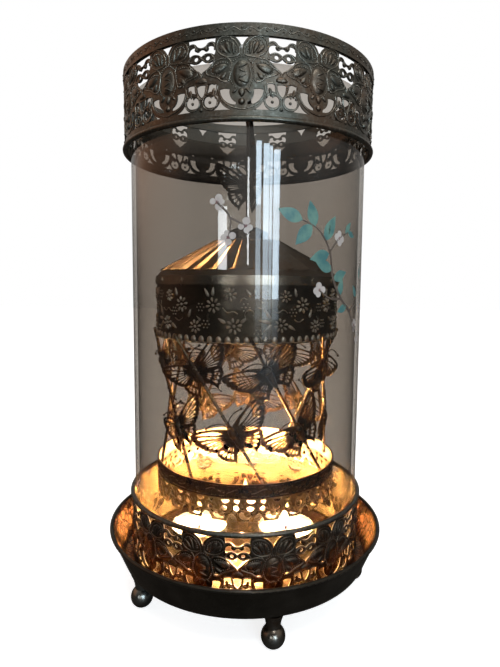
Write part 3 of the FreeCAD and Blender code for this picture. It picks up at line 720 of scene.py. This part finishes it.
GALLERY_RISE = 2.8
CROWN_TURN, GALLERY_TURN = -2.5, 12.0
CROWN_SWELL, GALLERY_SWELL = 0.9, 0.55
crown_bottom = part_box("crown_band")[0].z / MM
gallery_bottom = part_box("gallery_band")[0].z / MM
band_relief("crown_relief", ON_CROWN, crown_face, crown_bottom, CROWN_TURN, crown_bronze, crown_wires,
            CROWN_SWELL)
band_relief("gallery_relief", ON_GALLERY, gallery_face, gallery_bottom + GALLERY_RISE, GALLERY_TURN,
            gallery_bronze, gallery_wires, GALLERY_SWELL)

# How far under the largest radius the hem's and the ring's relief starts
HEM_SINK, RING_SINK = 0.1, 0.4
HEM_WAVES = 60


def hem_relief():
    """A running wave with dots on the crown's folded strip."""
    low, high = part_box("crown_hem")
    repeat = 2 * math.pi * high.x / MM / HEM_WAVES
    forms = Shell()
    forms.dome(0, 3.6, 1.7, 1.3, 0, 0.5, around=10)
    forms.dome(repeat / 2, 2.2, 1.4, 1.1, 0, 0.45, around=10)
    wave = [(-repeat / 2, 3.9), (-repeat / 4, 3.0), (0, 2.0), (repeat / 4, 3.0), (repeat / 2, 3.9)]
    relief("hem_relief", ON_CROWN, high.x / MM - HEM_SINK, HEM_WAVES, CROWN_TURN, low.z / MM, crown_bronze,
           forms, ([wave], []), wire=0.3, sides=5, wire_finish=crown_wires)


hem_relief()


# Flowers and leaves pressed into the drum

DRUM_REPEATS = 5
DRUM_ARCHES = 70
drum_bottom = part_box("drum_shell")[0].z / MM


def daisy(forms, u, v, reach=4.4, petals=8, turn=10):
    forms.dome(u, v, 1.9, 1.9, 0, 1.0)
    for k in range(petals):
        a = turn + 360 * k / petals
        forms.dome(*polar((u, v), reach * 0.66, a), reach * 0.62, reach * 0.3, a, 1.0, -0.35, 10)


def dots(forms, u, v, reach=2.2, count=6):
    forms.dome(u, v, 1.1, 1.1, 0, 0.5, around=8)
    for k, (x, y) in enumerate(oval(u, v, reach, reach, count)):
        forms.dome(x, y, 1.2, 1.0, 60 * k, 0.5, around=8)


def drum_relief():
    """Daisies, dotted flowers, leaves and scrolls."""
    forms = Shell()
    for u, v, reach in ((-9.5, 28.0, 4.3), (-19.4, 21.8, 4.8), (-7.1, 10.2, 5.0), (19.8, 10.6, 4.6),
                        (34.0, 22.0, 5.0), (22.5, 27.0, 3.9), (-31.0, 9.5, 4.3)):
        daisy(forms, u, v, reach)
    for u, v in ((-27.4, 20.6), (-0.6, 20.8), (27.4, 17.8), (10.6, 27.6), (-24.0, 11.0), (6.5, 6.0)):
        dots(forms, u, v)
    leaves = ((11.6, 17.4, 7.0, 120), (10.2, 12.9, 7.4, 172), (11.8, 9.2, 6.6, 214), (-23.4, 29.0, 5.8, 118),
              (-19.4, 29.6, 5.6, 84), (1.2, 28.8, 6.2, 128), (4.6, 29.4, 5.2, 88), (29.0, 29.2, 5.6, 104),
              (-14.2, 13.2, 5.6, 150), (-1.6, 13.6, 4.8, 40), (26.8, 9.0, 6.0, -30), (-35.0, 17.0, 5.6, 70))
    forms.domes([(u, v, length, 2.0, turn) for u, v, length, turn in leaves], 0.7, 0.45)
    scrolls = [[(-13.6, 20.6), (-11.0, 18.0), (-7.4, 18.4), (-5.0, 17.2)],
               [(0.6, 13.8), (-1.0, 16.4), (0.6, 19.4), (3.4, 18.6), (3.8, 16.2), (2.4, 15.2)],
               [(6.2, 26.6), (5.0, 23.4), (6.8, 20.6), (9.6, 21.2), (9.8, 23.4), (8.2, 23.8)],
               [(14.6, 19.4), (17.8, 17.8), (21.0, 19.4), (24.0, 17.6)],
               [(-3.8, 23.6), (-2.2, 26.0), (0.2, 25.2)],
               [(-30.0, 15.4), (-27.6, 13.2), (-29.4, 14.8)],
               [(28.2, 13.8), (31.4, 12.4), (34.8, 14.0)],
               [(12.4, 12.9), (6.9, 13.5)], [(13.0, 14.2), (9.2, 20.2)], [(13.4, 11.2), (9.0, 6.6)]]
    relief("drum_relief", ON_ROTOR, drum_face, DRUM_REPEATS, 0.0, drum_bottom, drum_pewter, forms,
           (scrolls, []), wire=0.32, sides=5)


def drum_edge():
    """Row of pressed arches along the drum's lower edge."""
    arch = Shell()
    arch.dome(0, 2.4, 4.2, 3.6, 90, 0.8, 0.15)
    relief("drum_edge_arches", ON_ROTOR, drum_face, DRUM_ARCHES, 0.0, drum_bottom, drum_pewter, arch,
           ([[(-2.68, 0.5), (0.0, 0.9), (2.68, 0.5)]], []), wire=0.35, sides=5)


drum_relief()
drum_edge()


# Scrolls on the rotor's ring and on its fringe

ring_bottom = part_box("rotor_ring")[0].z / MM
REPEATS = 24
REPEAT = 2 * math.pi * ring_face / REPEATS


def ring_relief():
    """Leaves and a wave between two rows of beads."""
    forms = Shell()
    forms.domes(((-4.6, 4.1, 3.6, 1.5, 35), (-1.2, 4.6, 3.0, 1.4, -30), (2.4, 3.6, 3.4, 1.5, 30),
                 (5.8, 4.4, 3.0, 1.4, -35)), 0.6, 0.4, 10)
    wave = [(-REPEAT / 2, 4.0), (-REPEAT / 4, 5.3), (0, 4.0), (REPEAT / 4, 2.8), (REPEAT / 2, 4.0)]
    edge = [[(-REPEAT / 2, v), (REPEAT / 2 - 1.2, v)] for v in (1.0, 7.1)]
    relief("ring_relief", ON_ROTOR, ring_face - RING_SINK, REPEATS, 0.0, ring_bottom, ring_metal, forms,
           ([wave], []), (edge, []), wire=0.35, bead=0.45, spacing=1.2, sides=5, wire_finish=ring_wires)


def fringe_relief():
    """Buds between the scrolls of the filigree."""
    low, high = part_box("ring_fringe")
    forms = Shell()
    forms.domes(((0.0, 9.4, 4.4, 1.6, 90), (-2.2, 9.6, 3.8, 1.2, 118), (2.0, 9.8, 3.8, 1.2, 62),
                 (0.2, 5.9, 2.2, 1.8, 0), (7.1, 8.6, 4.2, 1.6, 90), (-6.9, 11.2, 2.4, 1.4, 20)),
                0.65, 0.3, 10)
    scrolls = [[(-4.6, 9.8), (-3.2, 8.6), (-3.3, 6.6), (-4.9, 5.5), (-6.7, 6.4), (-7.0, 8.4), (-5.6, 9.9)],
               [(4.6, 9.4), (5.4, 7.6), (4.4, 5.9), (2.2, 5.7), (0.8, 7.0), (0.9, 9.2), (2.6, 9.9)],
               [(-0.8, 5.9), (-3.0, 6.2), (-4.1, 4.2), (-3.0, 1.5), (0.2, 0.5), (3.4, 1.5), (4.2, 4.0),
                (2.2, 4.6), (0.6, 3.6)],
               [(4.2, 4.0), (6.4, 4.6), (7.6, 6.2)], [(-4.1, 4.2), (-6.2, 4.6), (-7.6, 6.2)]]
    relief("fringe_relief", ON_ROTOR, high.x / MM, REPEATS, 0.0, low.z / MM, fringe_metal, forms,
           (scrolls, []), wire=0.5, wire_finish=fringe_wires)


ring_relief()
fringe_relief()


# Butterflies of the rotor: rounded pierced wings, a ringed body and feelers, in millimetres

WING_HALF = 0.25
WING_EDGE = 0.17
VEIN_RADIUS = 0.34
FEELER_RADIUS = 0.36
FEELER_DEPTH = 1.5
KNOB_RADIUS = 0.85
SCALLOP = 1.045
# How square an opening's corners are (1 is an oval), and the least half angle that it takes
CELL_CORNERS = 0.8
LEAST_SPREAD = 0.4


def cell_outline(root, near, far, low, high, rib, count=12):
    """A rounded opening between two ribs of a wing."""
    middle, half = (near + far) / 2, (far - near) / 2
    centre, spread = (low + high) / 2, (high - low) / 2
    points = []
    for c, s in turns(count):
        reach = middle + half * math.copysign(abs(c) ** CELL_CORNERS, c)
        room = max(spread - math.degrees(rib / reach), LEAST_SPREAD)
        points.append(polar(root, reach, centre + room * math.copysign(abs(s) ** CELL_CORNERS, s)))
    return points


def wing_outline(front, root, ribs):
    """Edge of a wing: its front line, then a scallop between each pair of ribs."""
    points = list(front)
    for (a, reach_a), (b, reach_b) in zip(ribs, ribs[1:]):
        points.append(polar(root, reach_a, a))
        for share in (0.3, 0.7):
            reach = reach_a + (reach_b - reach_a) * share
            points.append(polar(root, reach * SCALLOP, a + (b - a) * share))
    points.append(polar(root, ribs[-1][1], ribs[-1][0]))
    return points


def wing_mesh(front, root, ribs, rows, back, openings=()):
    """One right wing as a plate with rounded edges. Rows of openings are near and far shares of the reach,
    and half a rib."""
    data = bpy.data.curves.new("wing", "CURVE")
    data.dimensions = "2D"
    data.fill_mode = "BOTH"
    data.extrude = WING_HALF * MM
    data.bevel_depth = WING_EDGE * MM
    data.bevel_resolution = 1
    outlines = [wing_outline(front, root, ribs) + list(back), *openings]
    for (a, reach_a), (b, reach_b) in zip(ribs, ribs[1:]):
        reach = min(reach_a, reach_b)
        for near, far, rib in rows:
            outlines.append(cell_outline(root, reach * near, reach * far, b, a, rib))
    for outline in outlines:
        spline = data.splines.new("POLY")
        spline.points.add(len(outline) - 1)
        for knot, (x, y) in zip(spline.points, outline):
            knot.co = (x * MM, y * MM, 0, 1)
        spline.use_cyclic_u = True
    mesh = baked(link("wing", data))
    mesh.transform(Matrix.Rotation(math.radians(90), 4, "X"))
    return mesh


def upper_wing():
    root = (1.4, 2.2)
    front = [(1.2, 6.6), (3.2, 7.7), (6.4, 9.3), (10.6, 11.0), (15.2, 12.6), (19.6, 13.9), (22.8, 14.4),
             (24.6, 14.0)]
    ribs = [(25.5, 25.6), (17.0, 23.6), (10.0, 21.6), (3.0, 19.6), (-4.0, 17.7), (-11.0, 15.9),
            (-18.0, 14.2), (-25.0, 12.6)]
    rows = ((0.22, 0.95, 0.1),)
    front_cell = [(4.8, 5.4), (8.0, 8.4), (11.5, 10.4), (15.4, 11.8), (19.6, 13.0), (22.4, 13.5),
                  (23.4, 13.0), (20.5, 11.6), (15.5, 9.3), (10.0, 6.7)]
    return wing_mesh(front, root, ribs, rows, [(6.0, -2.2), (1.2, -0.6)], [front_cell])


def lower_wing():
    root = (1.4, -0.8)
    front = [(1.2, 0.6), (5.0, 0.4), (9.4, -0.5), (13.0, -1.6)]
    ribs = [(-6.0, 13.6), (-19.0, 14.2), (-32.0, 13.6), (-45.0, 13.0), (-58.0, 12.6)]
    rows = ((0.3, 0.56, 0.11), (0.64, 0.94, 0.11))
    return wing_mesh(front, root, ribs, rows, [(7.1, -13.3), (5.8, -10.6), (3.4, -8.0), (1.2, -6.6)])


# The raised vein of the upper wing, and the feeler, which ends in a knob
vein = [(1.6, 6.0), (6.6, 8.6), (12.0, 10.6), (18.4, 12.6), (23.6, 13.2)]
feeler = [(0.8, 8.2), (2.0, 10.8), (5.0, 12.8), (8.6, 13.7), (12.2, 13.7)]


def tube(points, radius, depth=0.0):
    """A thin round wire along points in the wing's plane."""
    source = curve_object("wire", [points], depth=depth)
    source.data.bevel_depth = radius * MM
    source.data.bevel_resolution = 1
    source.data.use_fill_caps = True
    return baked(source)


BODY_RINGS = 7
RING_PITCH = 1.25


def ringed_body():
    """Head, chest and a ringed tail, turned about the wire."""
    shell = Shell()
    outline = [(0, 9.0), (0.9, 8.8), (1.6, 8.1), (1.8, 7.2), (1.5, 6.3), (1.9, 5.9), (2.5, 4.8), (2.75, 3.2),
               (2.5, 1.5), (1.9, 0.5)]
    for k in range(BODY_RINGS):
        z = 0.1 - k * RING_PITCH
        size = 2.35 - 0.16 * k
        outline += [(size, z - 0.3), (size, z - 0.7), (size - 0.7, z - 1.0)]
    outline += [(0.7, -9.4), (0, -9.8)]
    shell.lathe(outline[::-1], 20)
    return shell.mesh("body")


def ball(x, z, radius, depth):
    shell = Shell()
    steps = 7
    outline = [(radius * math.sin(math.pi * k / steps), -radius * math.cos(math.pi * k / steps))
               for k in range(steps + 1)]
    outline[0] = (0, -radius)
    outline[-1] = (0, radius)
    shell.lathe([(r, z + h) for r, h in outline], 12, (x, -depth))
    return shell.mesh("ball")


def butterfly_mesh(fold):
    """A whole butterfly on a wire along +Z, facing -Y, with its wings folded back."""
    right = [upper_wing(), lower_wing(), tube(vein, VEIN_RADIUS, WING_HALF)]
    for mesh in right:
        mesh.transform(Matrix.Rotation(math.radians(fold), 4, "Z"))
    right += [tube(feeler, FEELER_RADIUS, FEELER_DEPTH), ball(12.3, 13.7, KNOB_RADIUS, FEELER_DEPTH)]
    left = []
    for mesh in right:
        copy = mesh.copy()
        copy.transform(Matrix.Scale(-1, 4, (1, 0, 0)))
        copy.flip_normals()
        left.append(copy)
    whole = merged("butterfly", [ringed_body()] + right + left)
    mesh = whole.data
    bpy.data.objects.remove(whole)
    paint(mesh, black)
    for polygon in mesh.polygons:
        polygon.use_smooth = True
        polygon.material_index = 0
    return mesh


# Sizes of the stays, in millimetres and degrees, which place the butterflies
STAYS = 8
STAY_FIRST_ANGLE = -41.1
STAY_TWIST = 53.3
STAY_RADIUS = 1.0
STAY_CLEARANCE = 0.15
STAY_FOOT = 3.6
RING_SHEET = 1.2
DROPS = (19.1, 56.3)
WING_FOLD = 9.0
ROD_WING_FOLD = 15.0
ROD_WING_TURN = 50.0
ROD_WING_RISE = 13.1


def on_circle(radius, angle, height):
    a = math.radians(angle)
    return Vector((radius * math.sin(a), -radius * math.cos(a), height))


def stay_place(k, drop):
    """Where a butterfly sits on a stay: its matrix in the lamp's frame."""
    angle = STAY_FIRST_ANGLE + k * 360 / STAYS
    top = on_circle(drum_face + STAY_RADIUS + STAY_CLEARANCE, angle, drum_bottom)
    foot = on_circle(ring_face - RING_SHEET - STAY_RADIUS - STAY_CLEARANCE, angle + STAY_TWIST,
                     ring_bottom + STAY_FOOT)
    along = (top - foot).normalized()
    centre = top - along * (drop / along.z)
    out = Vector((centre.x, centre.y, 0))
    out = (out - along * out.dot(along)).normalized()
    side = out.cross(along)
    turn = Matrix((side, -out, along)).transposed().to_4x4()
    return Matrix.Translation(centre * MM) @ turn


def stay_butterflies():
    pattern = butterfly_mesh(WING_FOLD)
    number = 0
    for drop in DROPS:
        for k in range(STAYS):
            number += 1
            mesh = pattern.copy()
            mesh.transform(stay_place(k, drop))
            node = "butterfly_%02d" % number
            piece(link("winged_" + node, mesh), "rotor", "black_metal", node)


def rod_butterfly():
    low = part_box("rod_butterfly")[0]
    mesh = butterfly_mesh(ROD_WING_FOLD)
    middle = Matrix.Translation((0, 0, low.z + ROD_WING_RISE * MM))
    mesh.transform(middle @ Matrix.Rotation(math.radians(ROD_WING_TURN), 4, "Z"))
    piece(link("winged_rod_butterfly", mesh), "rotor", "black_metal", "rod_butterfly")


stay_butterflies()
rod_butterfly()


# Tealights and flames, in millimetres

FLUTES = 36
CUP_STEPS = 4 * FLUTES
FLUTE_DEPTH = 0.16
FLAME_HEIGHT = 19.0
FLAME_LIFT = 3.2
FLAME_LAMP_RISE = 9.0
FLAME_LAMP_RADIUS = 3.0
FLAME_WATTS = 26.0
FLAME_LIGHT = (1.0, 0.58, 0.25)


def round_box(node):
    """Middle, radius, bottom and top of an upright round node."""
    low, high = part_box(node)
    x, y = (low.x + high.x) / 2 / MM, (low.y + high.y) / 2 / MM
    return x, y, (high.x - low.x) / 2 / MM, low.z / MM, high.z / MM


def tealight_piece(name, number, shell, material, slot, *replaced):
    made = link("%s_%d" % (name, number), shell.mesh(name, material))
    piece(made, "tealight_%d" % number, slot, *replaced)


def fluted_cup(number):
    """A tealight's thin cup with a fluted wall and a rolled rim."""
    node = "tealight_cup_%d" % number
    x, y, outer, bottom, top = round_box(node)
    shell = Shell()
    # Rows of radius, height and share of the fluting
    levels = ((outer - 1.4, bottom, 0), (outer - 0.4, bottom + 0.5, 0.4), (outer - 0.1, bottom + 1.8, 1),
              (outer - 0.1, top - 1.8, 1), (outer - 0.05, top - 0.9, 0), (outer, top - 0.4, 0),
              (outer - 0.25, top, 0), (outer - 0.5, top - 0.4, 0), (outer - 0.45, top - 1.4, 0),
              (outer - 0.45, bottom + 0.4, 0))
    rings = []
    for radius, height, flute in levels:
        ring = []
        for k in range(CUP_STEPS):
            a = 2 * math.pi * k / CUP_STEPS
            r = radius - FLUTE_DEPTH * flute * (1 + math.cos(FLUTES * a))
            ring.append((x + r * math.sin(a), y - r * math.cos(a), height))
        rings.append(ring)
    shell.rings(rings, (True, True))
    tealight_piece("fluted_cup", number, shell, aluminium, "cup_aluminium", node)


def melted_wax(number, finish):
    """Wax with a lip against the cup and a shallow pool round the wick."""
    node = "tealight_wax_%d" % number
    x, y, radius, bottom, top = round_box(node)
    outline = [(0, bottom), (radius - 0.2, bottom), (radius - 0.1, top - 0.1), (radius - 0.5, top),
               (radius - 1.3, top - 0.55), (radius - 2.6, top - 0.85), (8.0, top - 1.0), (2.2, top - 0.95),
               (1.0, top - 0.6), (0, top - 0.5)]
    shell = Shell()
    shell.lathe(outline, 64, (x, y))
    tealight_piece("melted_wax", number, shell, finish, "candle_wax", node)


def flame(number):
    """A drop of flame on the wick, with the light that it gives."""
    body = "tealight_%d" % number
    wick_low, wick_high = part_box("tealight_wick_%d" % number)
    wax_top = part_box("tealight_wax_%d" % number)[1].z
    centre = (wick_low + wick_high) / 2
    fluted_cup(number)
    melted_wax(number, wax_finish("glowing_wax_%d" % number, (centre.x, centre.y, wax_top)))
    bottom = wick_high.z / MM - FLAME_LIFT
    shell = Shell()
    outline = [(0, 0), (1.5, 0.5), (2.6, 2.2), (3.1, 4.6), (2.9, 7.4), (2.2, 10.6), (1.4, 14.0), (0.7, 16.8),
               (0, FLAME_HEIGHT)]
    shell.lathe([(r, bottom + h) for r, h in outline], 20, (centre.x / MM, centre.y / MM))
    material = flame_finish("flame_%d" % number, bottom * MM, (bottom + FLAME_HEIGHT) * MM)
    tealight_piece("flame", number, shell, material, "candle_wick")
    lamp = bpy.data.lights.new("flame_light_%d" % number, "POINT")
    lamp.energy = FLAME_WATTS
    lamp.color = FLAME_LIGHT
    lamp.shadow_soft_size = FLAME_LAMP_RADIUS * MM
    holder = link("flame_light_%d" % number, lamp)
    holder.location = (centre.x, centre.y, (bottom + FLAME_LAMP_RISE) * MM)
    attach(holder, body)


for number in TEALIGHTS:
    flame(number)


# Print on the glass: a trailing vine with teal leaves and pale berries, of our own design

PRINT_LIFT = 0.06
PRINT_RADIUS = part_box("glass_cylinder")[1].x / MM + PRINT_LIFT
STEM, TWIG = 2.2, 1.1
BERRY_REACH = 2.4


def ribbon(shell, points, widths):
    """A flat strip along points, as wide as given at each of them."""
    count = len(points)
    sides = []
    for k, (u, v) in enumerate(points):
        a, b = points[max(k - 1, 0)], points[min(k + 1, count - 1)]
        along = Vector((b[0] - a[0], b[1] - a[1])).normalized() * widths[k] / 2
        sides += [(u - along.y, 0, v + along.x), (u + along.y, 0, v - along.x)]
    shell.add(sides, [[2 * k, 2 * k + 1, 2 * k + 3, 2 * k + 2] for k in range(count - 1)])


def leaf(shell, u, v, length, width, angle, steps=8):
    spine = [polar((u, v), length * t / steps, angle) for t in range(steps + 1)]
    ribbon(shell, spine, [width * math.sin(math.pi * (t / steps) ** 0.8) + 0.05 for t in range(steps + 1)])


def disc(shell, u, v, radius, around=14):
    shell.add([(x, 0, z) for x, z in oval(u, v, radius, radius, around)], [list(range(around))[::-1]])


def soft_path(points, steps=6):
    """Even steps along a soft line through the points."""
    padded = [points[0]] + list(points) + [points[-1]]
    path = []
    for a, b, c, d in zip(padded, padded[1:], padded[2:], padded[3:]):
        for k in range(steps):
            t = k / steps
            path.append(tuple(0.5 * (2 * b[i] + (c[i] - a[i]) * t
                                     + (2 * a[i] - 5 * b[i] + 4 * c[i] - d[i]) * t * t
                                     + (3 * b[i] - a[i] - 3 * c[i] + d[i]) * t ** 3) for i in (0, 1)))
    return path + [points[-1]]


def printed(name, shell, colour, first, second):
    mesh = grown(link("flat print", shell.mesh("flat print")), FORMS, Radius=PRINT_RADIUS * MM, Copies=1,
                 First_Angle=0.0, Base_Height=0.0, Finish=print_finish(colour, first, second))
    piece(link(name, mesh), "glass", "clear_glass")


def glass_print():
    vine, leaves, berries, hearts = Shell(), Shell(), Shell(), Shell()
    stems = [[(78.0, 176.0), (70.0, 188.0), (60.0, 196.0), (52.0, 208.0), (49.0, 222.0), (41.0, 233.0),
              (30.0, 238.0)],
             [(60.0, 196.0), (50.0, 196.5), (42.0, 201.0)], [(49.0, 222.0), (57.0, 230.0), (66.0, 234.0)],
             [(70.0, 188.0), (80.0, 197.0), (86.0, 208.0)], [(-16.0, 246.0), (-9.0, 238.0), (-10.0, 228.0)],
             [(-9.0, 238.0), (-1.0, 234.0)]]
    for number, stem in enumerate(stems):
        path = soft_path(stem)
        thick = STEM if number == 0 else TWIG
        ribbon(vine, path, [thick * (1 - 0.75 * k / len(path)) + 0.2 for k in range(len(path))])
    for u, v, length, width, angle in (
            (52.5, 207.0, 13.0, 6.2, 20), (51.0, 212.0, 13.0, 6.4, 160), (48.5, 221.0, 14.0, 6.8, 195),
            (45.0, 228.0, 16.0, 7.4, 60), (38.0, 235.0, 14.0, 7.0, 105), (36.0, 236.0, 15.0, 7.6, 228),
            (30.0, 238.0, 15.0, 7.2, 160), (58.0, 197.5, 11.0, 5.0, 75), (63.0, 233.0, 9.0, 4.2, 50),
            (66.0, 234.0, 8.0, 3.6, -15), (66.0, 192.0, 10.0, 4.6, 200), (80.0, 197.0, 9.0, 4.2, 130),
            (86.0, 208.0, 8.0, 3.8, 80)):
        leaf(leaves, u, v, length, width, angle)
    spread = random.Random(5)
    for u, v in ((42.0, 201.0), (-10.0, 228.0), (-1.0, 234.0), (-16.0, 246.0), (57.0, 230.0), (78.0, 180.0),
                 (84.0, 172.0), (88.0, 190.0)):
        for k in range(4):
            a = math.pi / 2 * k + spread.uniform(-0.4, 0.4)
            disc(berries, u + BERRY_REACH * math.cos(a), v + BERRY_REACH * math.sin(a),
                 spread.uniform(1.5, 2.1))
        disc(hearts, u, v, 0.9)
    printed("print_vine", vine, "print_brown", (0.07, 0.05, 0.04), (0.13, 0.10, 0.08))
    printed("print_leaves", leaves, "print_teal", (0.06, 0.17, 0.17), (0.14, 0.27, 0.22))
    printed("print_berries", berries, "print_pale", (0.42, 0.36, 0.33), (0.55, 0.50, 0.46))
    printed("print_berry_hearts", hearts, "print_plum", (0.14, 0.05, 0.06), (0.2, 0.09, 0.08))


glass_print()


# Studio: pale floor, white surround, a paned window's light and a soft fill, in metres and degrees

# How far the floor reaches, in millimetres
FLOOR_REACH = 4000.0
FLOOR_GLOW = 0.8
ROOM_LOW = 0.10
ROOM_HIGH = 0.42
# How far behind or above a way points where the room is dim and where it is light
BEHIND_DIM, BEHIND_LIGHT = -0.2, 0.75
# The room fades towards the horizon and under it: from, to, least and most
HORIZON = (-0.05, 0.34, 0.22, 1.0)
# Patches of the room: azimuth, elevation and reach, and how bright they are
WARM_SIDE, WARM_PATCH = (-100, 14, 50), 0.5
COOL_SIDE, COOL_PATCH = (64, 26, 42), 0.45
FRONT_SIDE, FRONT_PATCH = (8, 6, 34), 0.7
NEUTRAL, WARM = (1.0, 0.97, 0.92), (1.0, 0.56, 0.36)
WHITE = (1, 1, 1, 1)
WINDOW_RADIANCE = 16.0
WINDOW_DISTANCE = 1.6
WINDOW_FOOT, WINDOW_FADE, WINDOW_END = -1.6, -4.2, -6.8
FADE_SHARE = 0.4
DAYLIGHT = (0.66, 0.84, 1.0)
# Panes of the window: left, right, top, sill, and how bright it is under the sill and at its foot
PANES = ((7.4, 11.8, 17.9, 10.4, 0.4, 0.06), (13.9, 18.9, 17.6, 6.0, 0.5, 0.2),
         (19.4, 21.8, 17.3, 6.0, 0.5, 0.14), (22.8, 28.6, 16.9, 10.4, 0.9, 0.14))
LAMP_MIDDLE = Vector((0, 0, 0.2))


def floor():
    """White to the camera, with the lamp's soft shadow, and dark in reflections, as a table in a room is."""
    shell = Shell()
    corners = ((-1, -1), (1, -1), (1, 1), (-1, 1))
    shell.add([(x * FLOOR_REACH, y * FLOOR_REACH, 0) for x, y in corners], [[0, 1, 2, 3]])
    f = Finish("studio_floor")
    grain = f.noise(30.0, 2.0)
    path = f.node("ShaderNodeLightPath", output="Is Camera Ray")
    glow = f.node("ShaderNodeEmission", sockets={"Color": WHITE, "Strength": FLOOR_GLOW})
    paint = f.principled(Base_Color=f.mixed(grain, (0.80, 0.80, 0.80), (0.82, 0.82, 0.81)), Roughness=0.7)
    seen = f.node("ShaderNodeAddShader", sockets={0: paint, 1: glow})
    table = f.principled(Base_Color=f.mixed(grain, (0.05, 0.045, 0.04), (0.07, 0.06, 0.05)), Roughness=0.6)
    material = f.surface(f.node("ShaderNodeMixShader", sockets={0: path, 1: table, 2: seen}))
    link("studio_floor", shell.mesh("studio_floor", material, smooth=False))


def towards(azimuth, elevation):
    """A direction from the lamp, with azimuths counted from the front to the right."""
    a, e = math.radians(azimuth), math.radians(elevation)
    return Vector((math.sin(a) * math.cos(e), -math.cos(a) * math.cos(e), math.sin(e)))


def surround():
    """White to the camera, and to everything else a dim room: lighter above and behind, with a soft warm
    patch on the left, a cool one on the right and a pale one in front."""
    world = bpy.data.worlds.new("surround")
    bpy.context.scene.world = world
    world.use_nodes = True
    g = Graph(world.node_tree)
    direction = g.node("ShaderNodeTexCoord", output="Generated")
    way = g.node("ShaderNodeSeparateXYZ", sockets={"Vector": direction})

    def patch(azimuth, elevation, reach):
        facing = g.node("ShaderNodeVectorMath", {"operation": "DOT_PRODUCT"},
                        {0: direction, 1: towards(azimuth, elevation)}, output="Value")
        return g.between(facing, math.cos(math.radians(reach)), 1.0, curve="SMOOTHSTEP")

    warm, cool, front = patch(*WARM_SIDE), patch(*COOL_SIDE), patch(*FRONT_SIDE)
    behind = way.other("Z") * 0.6 + way.other("Y") * 0.4
    level = g.between(behind, BEHIND_DIM, BEHIND_LIGHT, ROOM_LOW, ROOM_HIGH, "SMOOTHSTEP")
    horizon = g.between(way.other("Z"), *HORIZON, "SMOOTHSTEP")
    level = (level + warm * WARM_PATCH + cool * COOL_PATCH) * horizon + front * FRONT_PATCH
    camera = g.node("ShaderNodeLightPath", output="Is Camera Ray")
    shown = g.node("ShaderNodeBackground", sockets={"Color": WHITE, "Strength": 1.0})
    room = g.node("ShaderNodeBackground", sockets={"Color": g.mixed(warm, NEUTRAL, WARM), "Strength": level})
    both = g.node("ShaderNodeMixShader", sockets={0: camera, 1: room, 2: shown})
    g.node("ShaderNodeOutputWorld", sockets={"Surface": both})


def panel(name, azimuth, elevation, width, height, distance, watts, colour):
    """A soft rectangular light that faces the lamp and doesn't show in the picture."""
    data = bpy.data.lights.new(name, "AREA")
    data.shape = "RECTANGLE"
    data.size, data.size_y = width, height
    data.energy = watts
    data.color = colour
    lamp = link(name, data)
    offset = towards(azimuth, elevation) * distance
    lamp.location = LAMP_MIDDLE + offset
    lamp.rotation_euler = offset.to_track_quat("Z", "Y").to_euler()
    lamp.visible_camera = False


def window_pane(name, left, right, low, high, share, colour=DAYLIGHT):
    """One pane, given by the angles at which the lamp sees its edges, and its share of the brightness."""
    width = WINDOW_DISTANCE * math.radians(right - left)
    height = WINDOW_DISTANCE * math.radians(high - low)
    panel(name, (left + right) / 2, (low + high) / 2, width, height, WINDOW_DISTANCE,
          WINDOW_RADIANCE * share * math.pi * width * height, colour)


def lights():
    """The room's paned window, its far window, and a soft fill from above."""
    for number, (left, right, top, sill, low_share, foot_share) in enumerate(PANES):
        for row, low, high, share in (("top", sill, top, 1.0), ("low", WINDOW_FOOT, sill, low_share),
                                      ("foot", WINDOW_FADE, WINDOW_FOOT, foot_share),
                                      ("fade", WINDOW_END, WINDOW_FADE, foot_share * FADE_SHARE)):
            window_pane("window_%s_%d" % (row, number), left, right, low, high, share)
    window_pane("window_edge", left=-0.2, right=1.4, low=2.8, high=16.0, share=0.8, colour=(0.9, 0.96, 1.0))
    window_pane("far_window", left=-26.3, right=-18.4, low=2.2, high=10.2, share=0.75,
                colour=(0.88, 0.95, 1.0))
    panel("top_fill", azimuth=15, elevation=60, width=0.6, height=0.6, distance=1.5, watts=8.0,
          colour=(1.0, 0.99, 0.97))


def camera():
    """The photograph's viewpoint."""
    place = Vector((0.0, -333.2, 202.8)) * MM
    pitch, pan, roll = math.radians(5.51), math.radians(0.40), math.radians(0.50)
    focal_length = 26.47
    ahead = Vector((math.sin(pan) * math.cos(pitch), math.cos(pan) * math.cos(pitch), -math.sin(pitch)))
    right = Vector((math.cos(pan), -math.sin(pan), 0))
    above = right.cross(ahead)
    tilted_right = right * math.cos(roll) + above * math.sin(roll)
    tilted_up = above * math.cos(roll) - right * math.sin(roll)
    data = bpy.data.cameras.new("camera")
    data.lens = focal_length
    data.sensor_width = 36.0
    data.clip_start = 0.01
    data.clip_end = 50.0
    made = link("camera", data)
    turn = Matrix((tilted_right, tilted_up, -ahead)).transposed().to_4x4()
    made.matrix_world = Matrix.Translation(place) @ turn
    bpy.context.scene.camera = made


floor()
surround()
lights()
camera()
bpy.context.scene.view_settings.view_transform = "Standard"
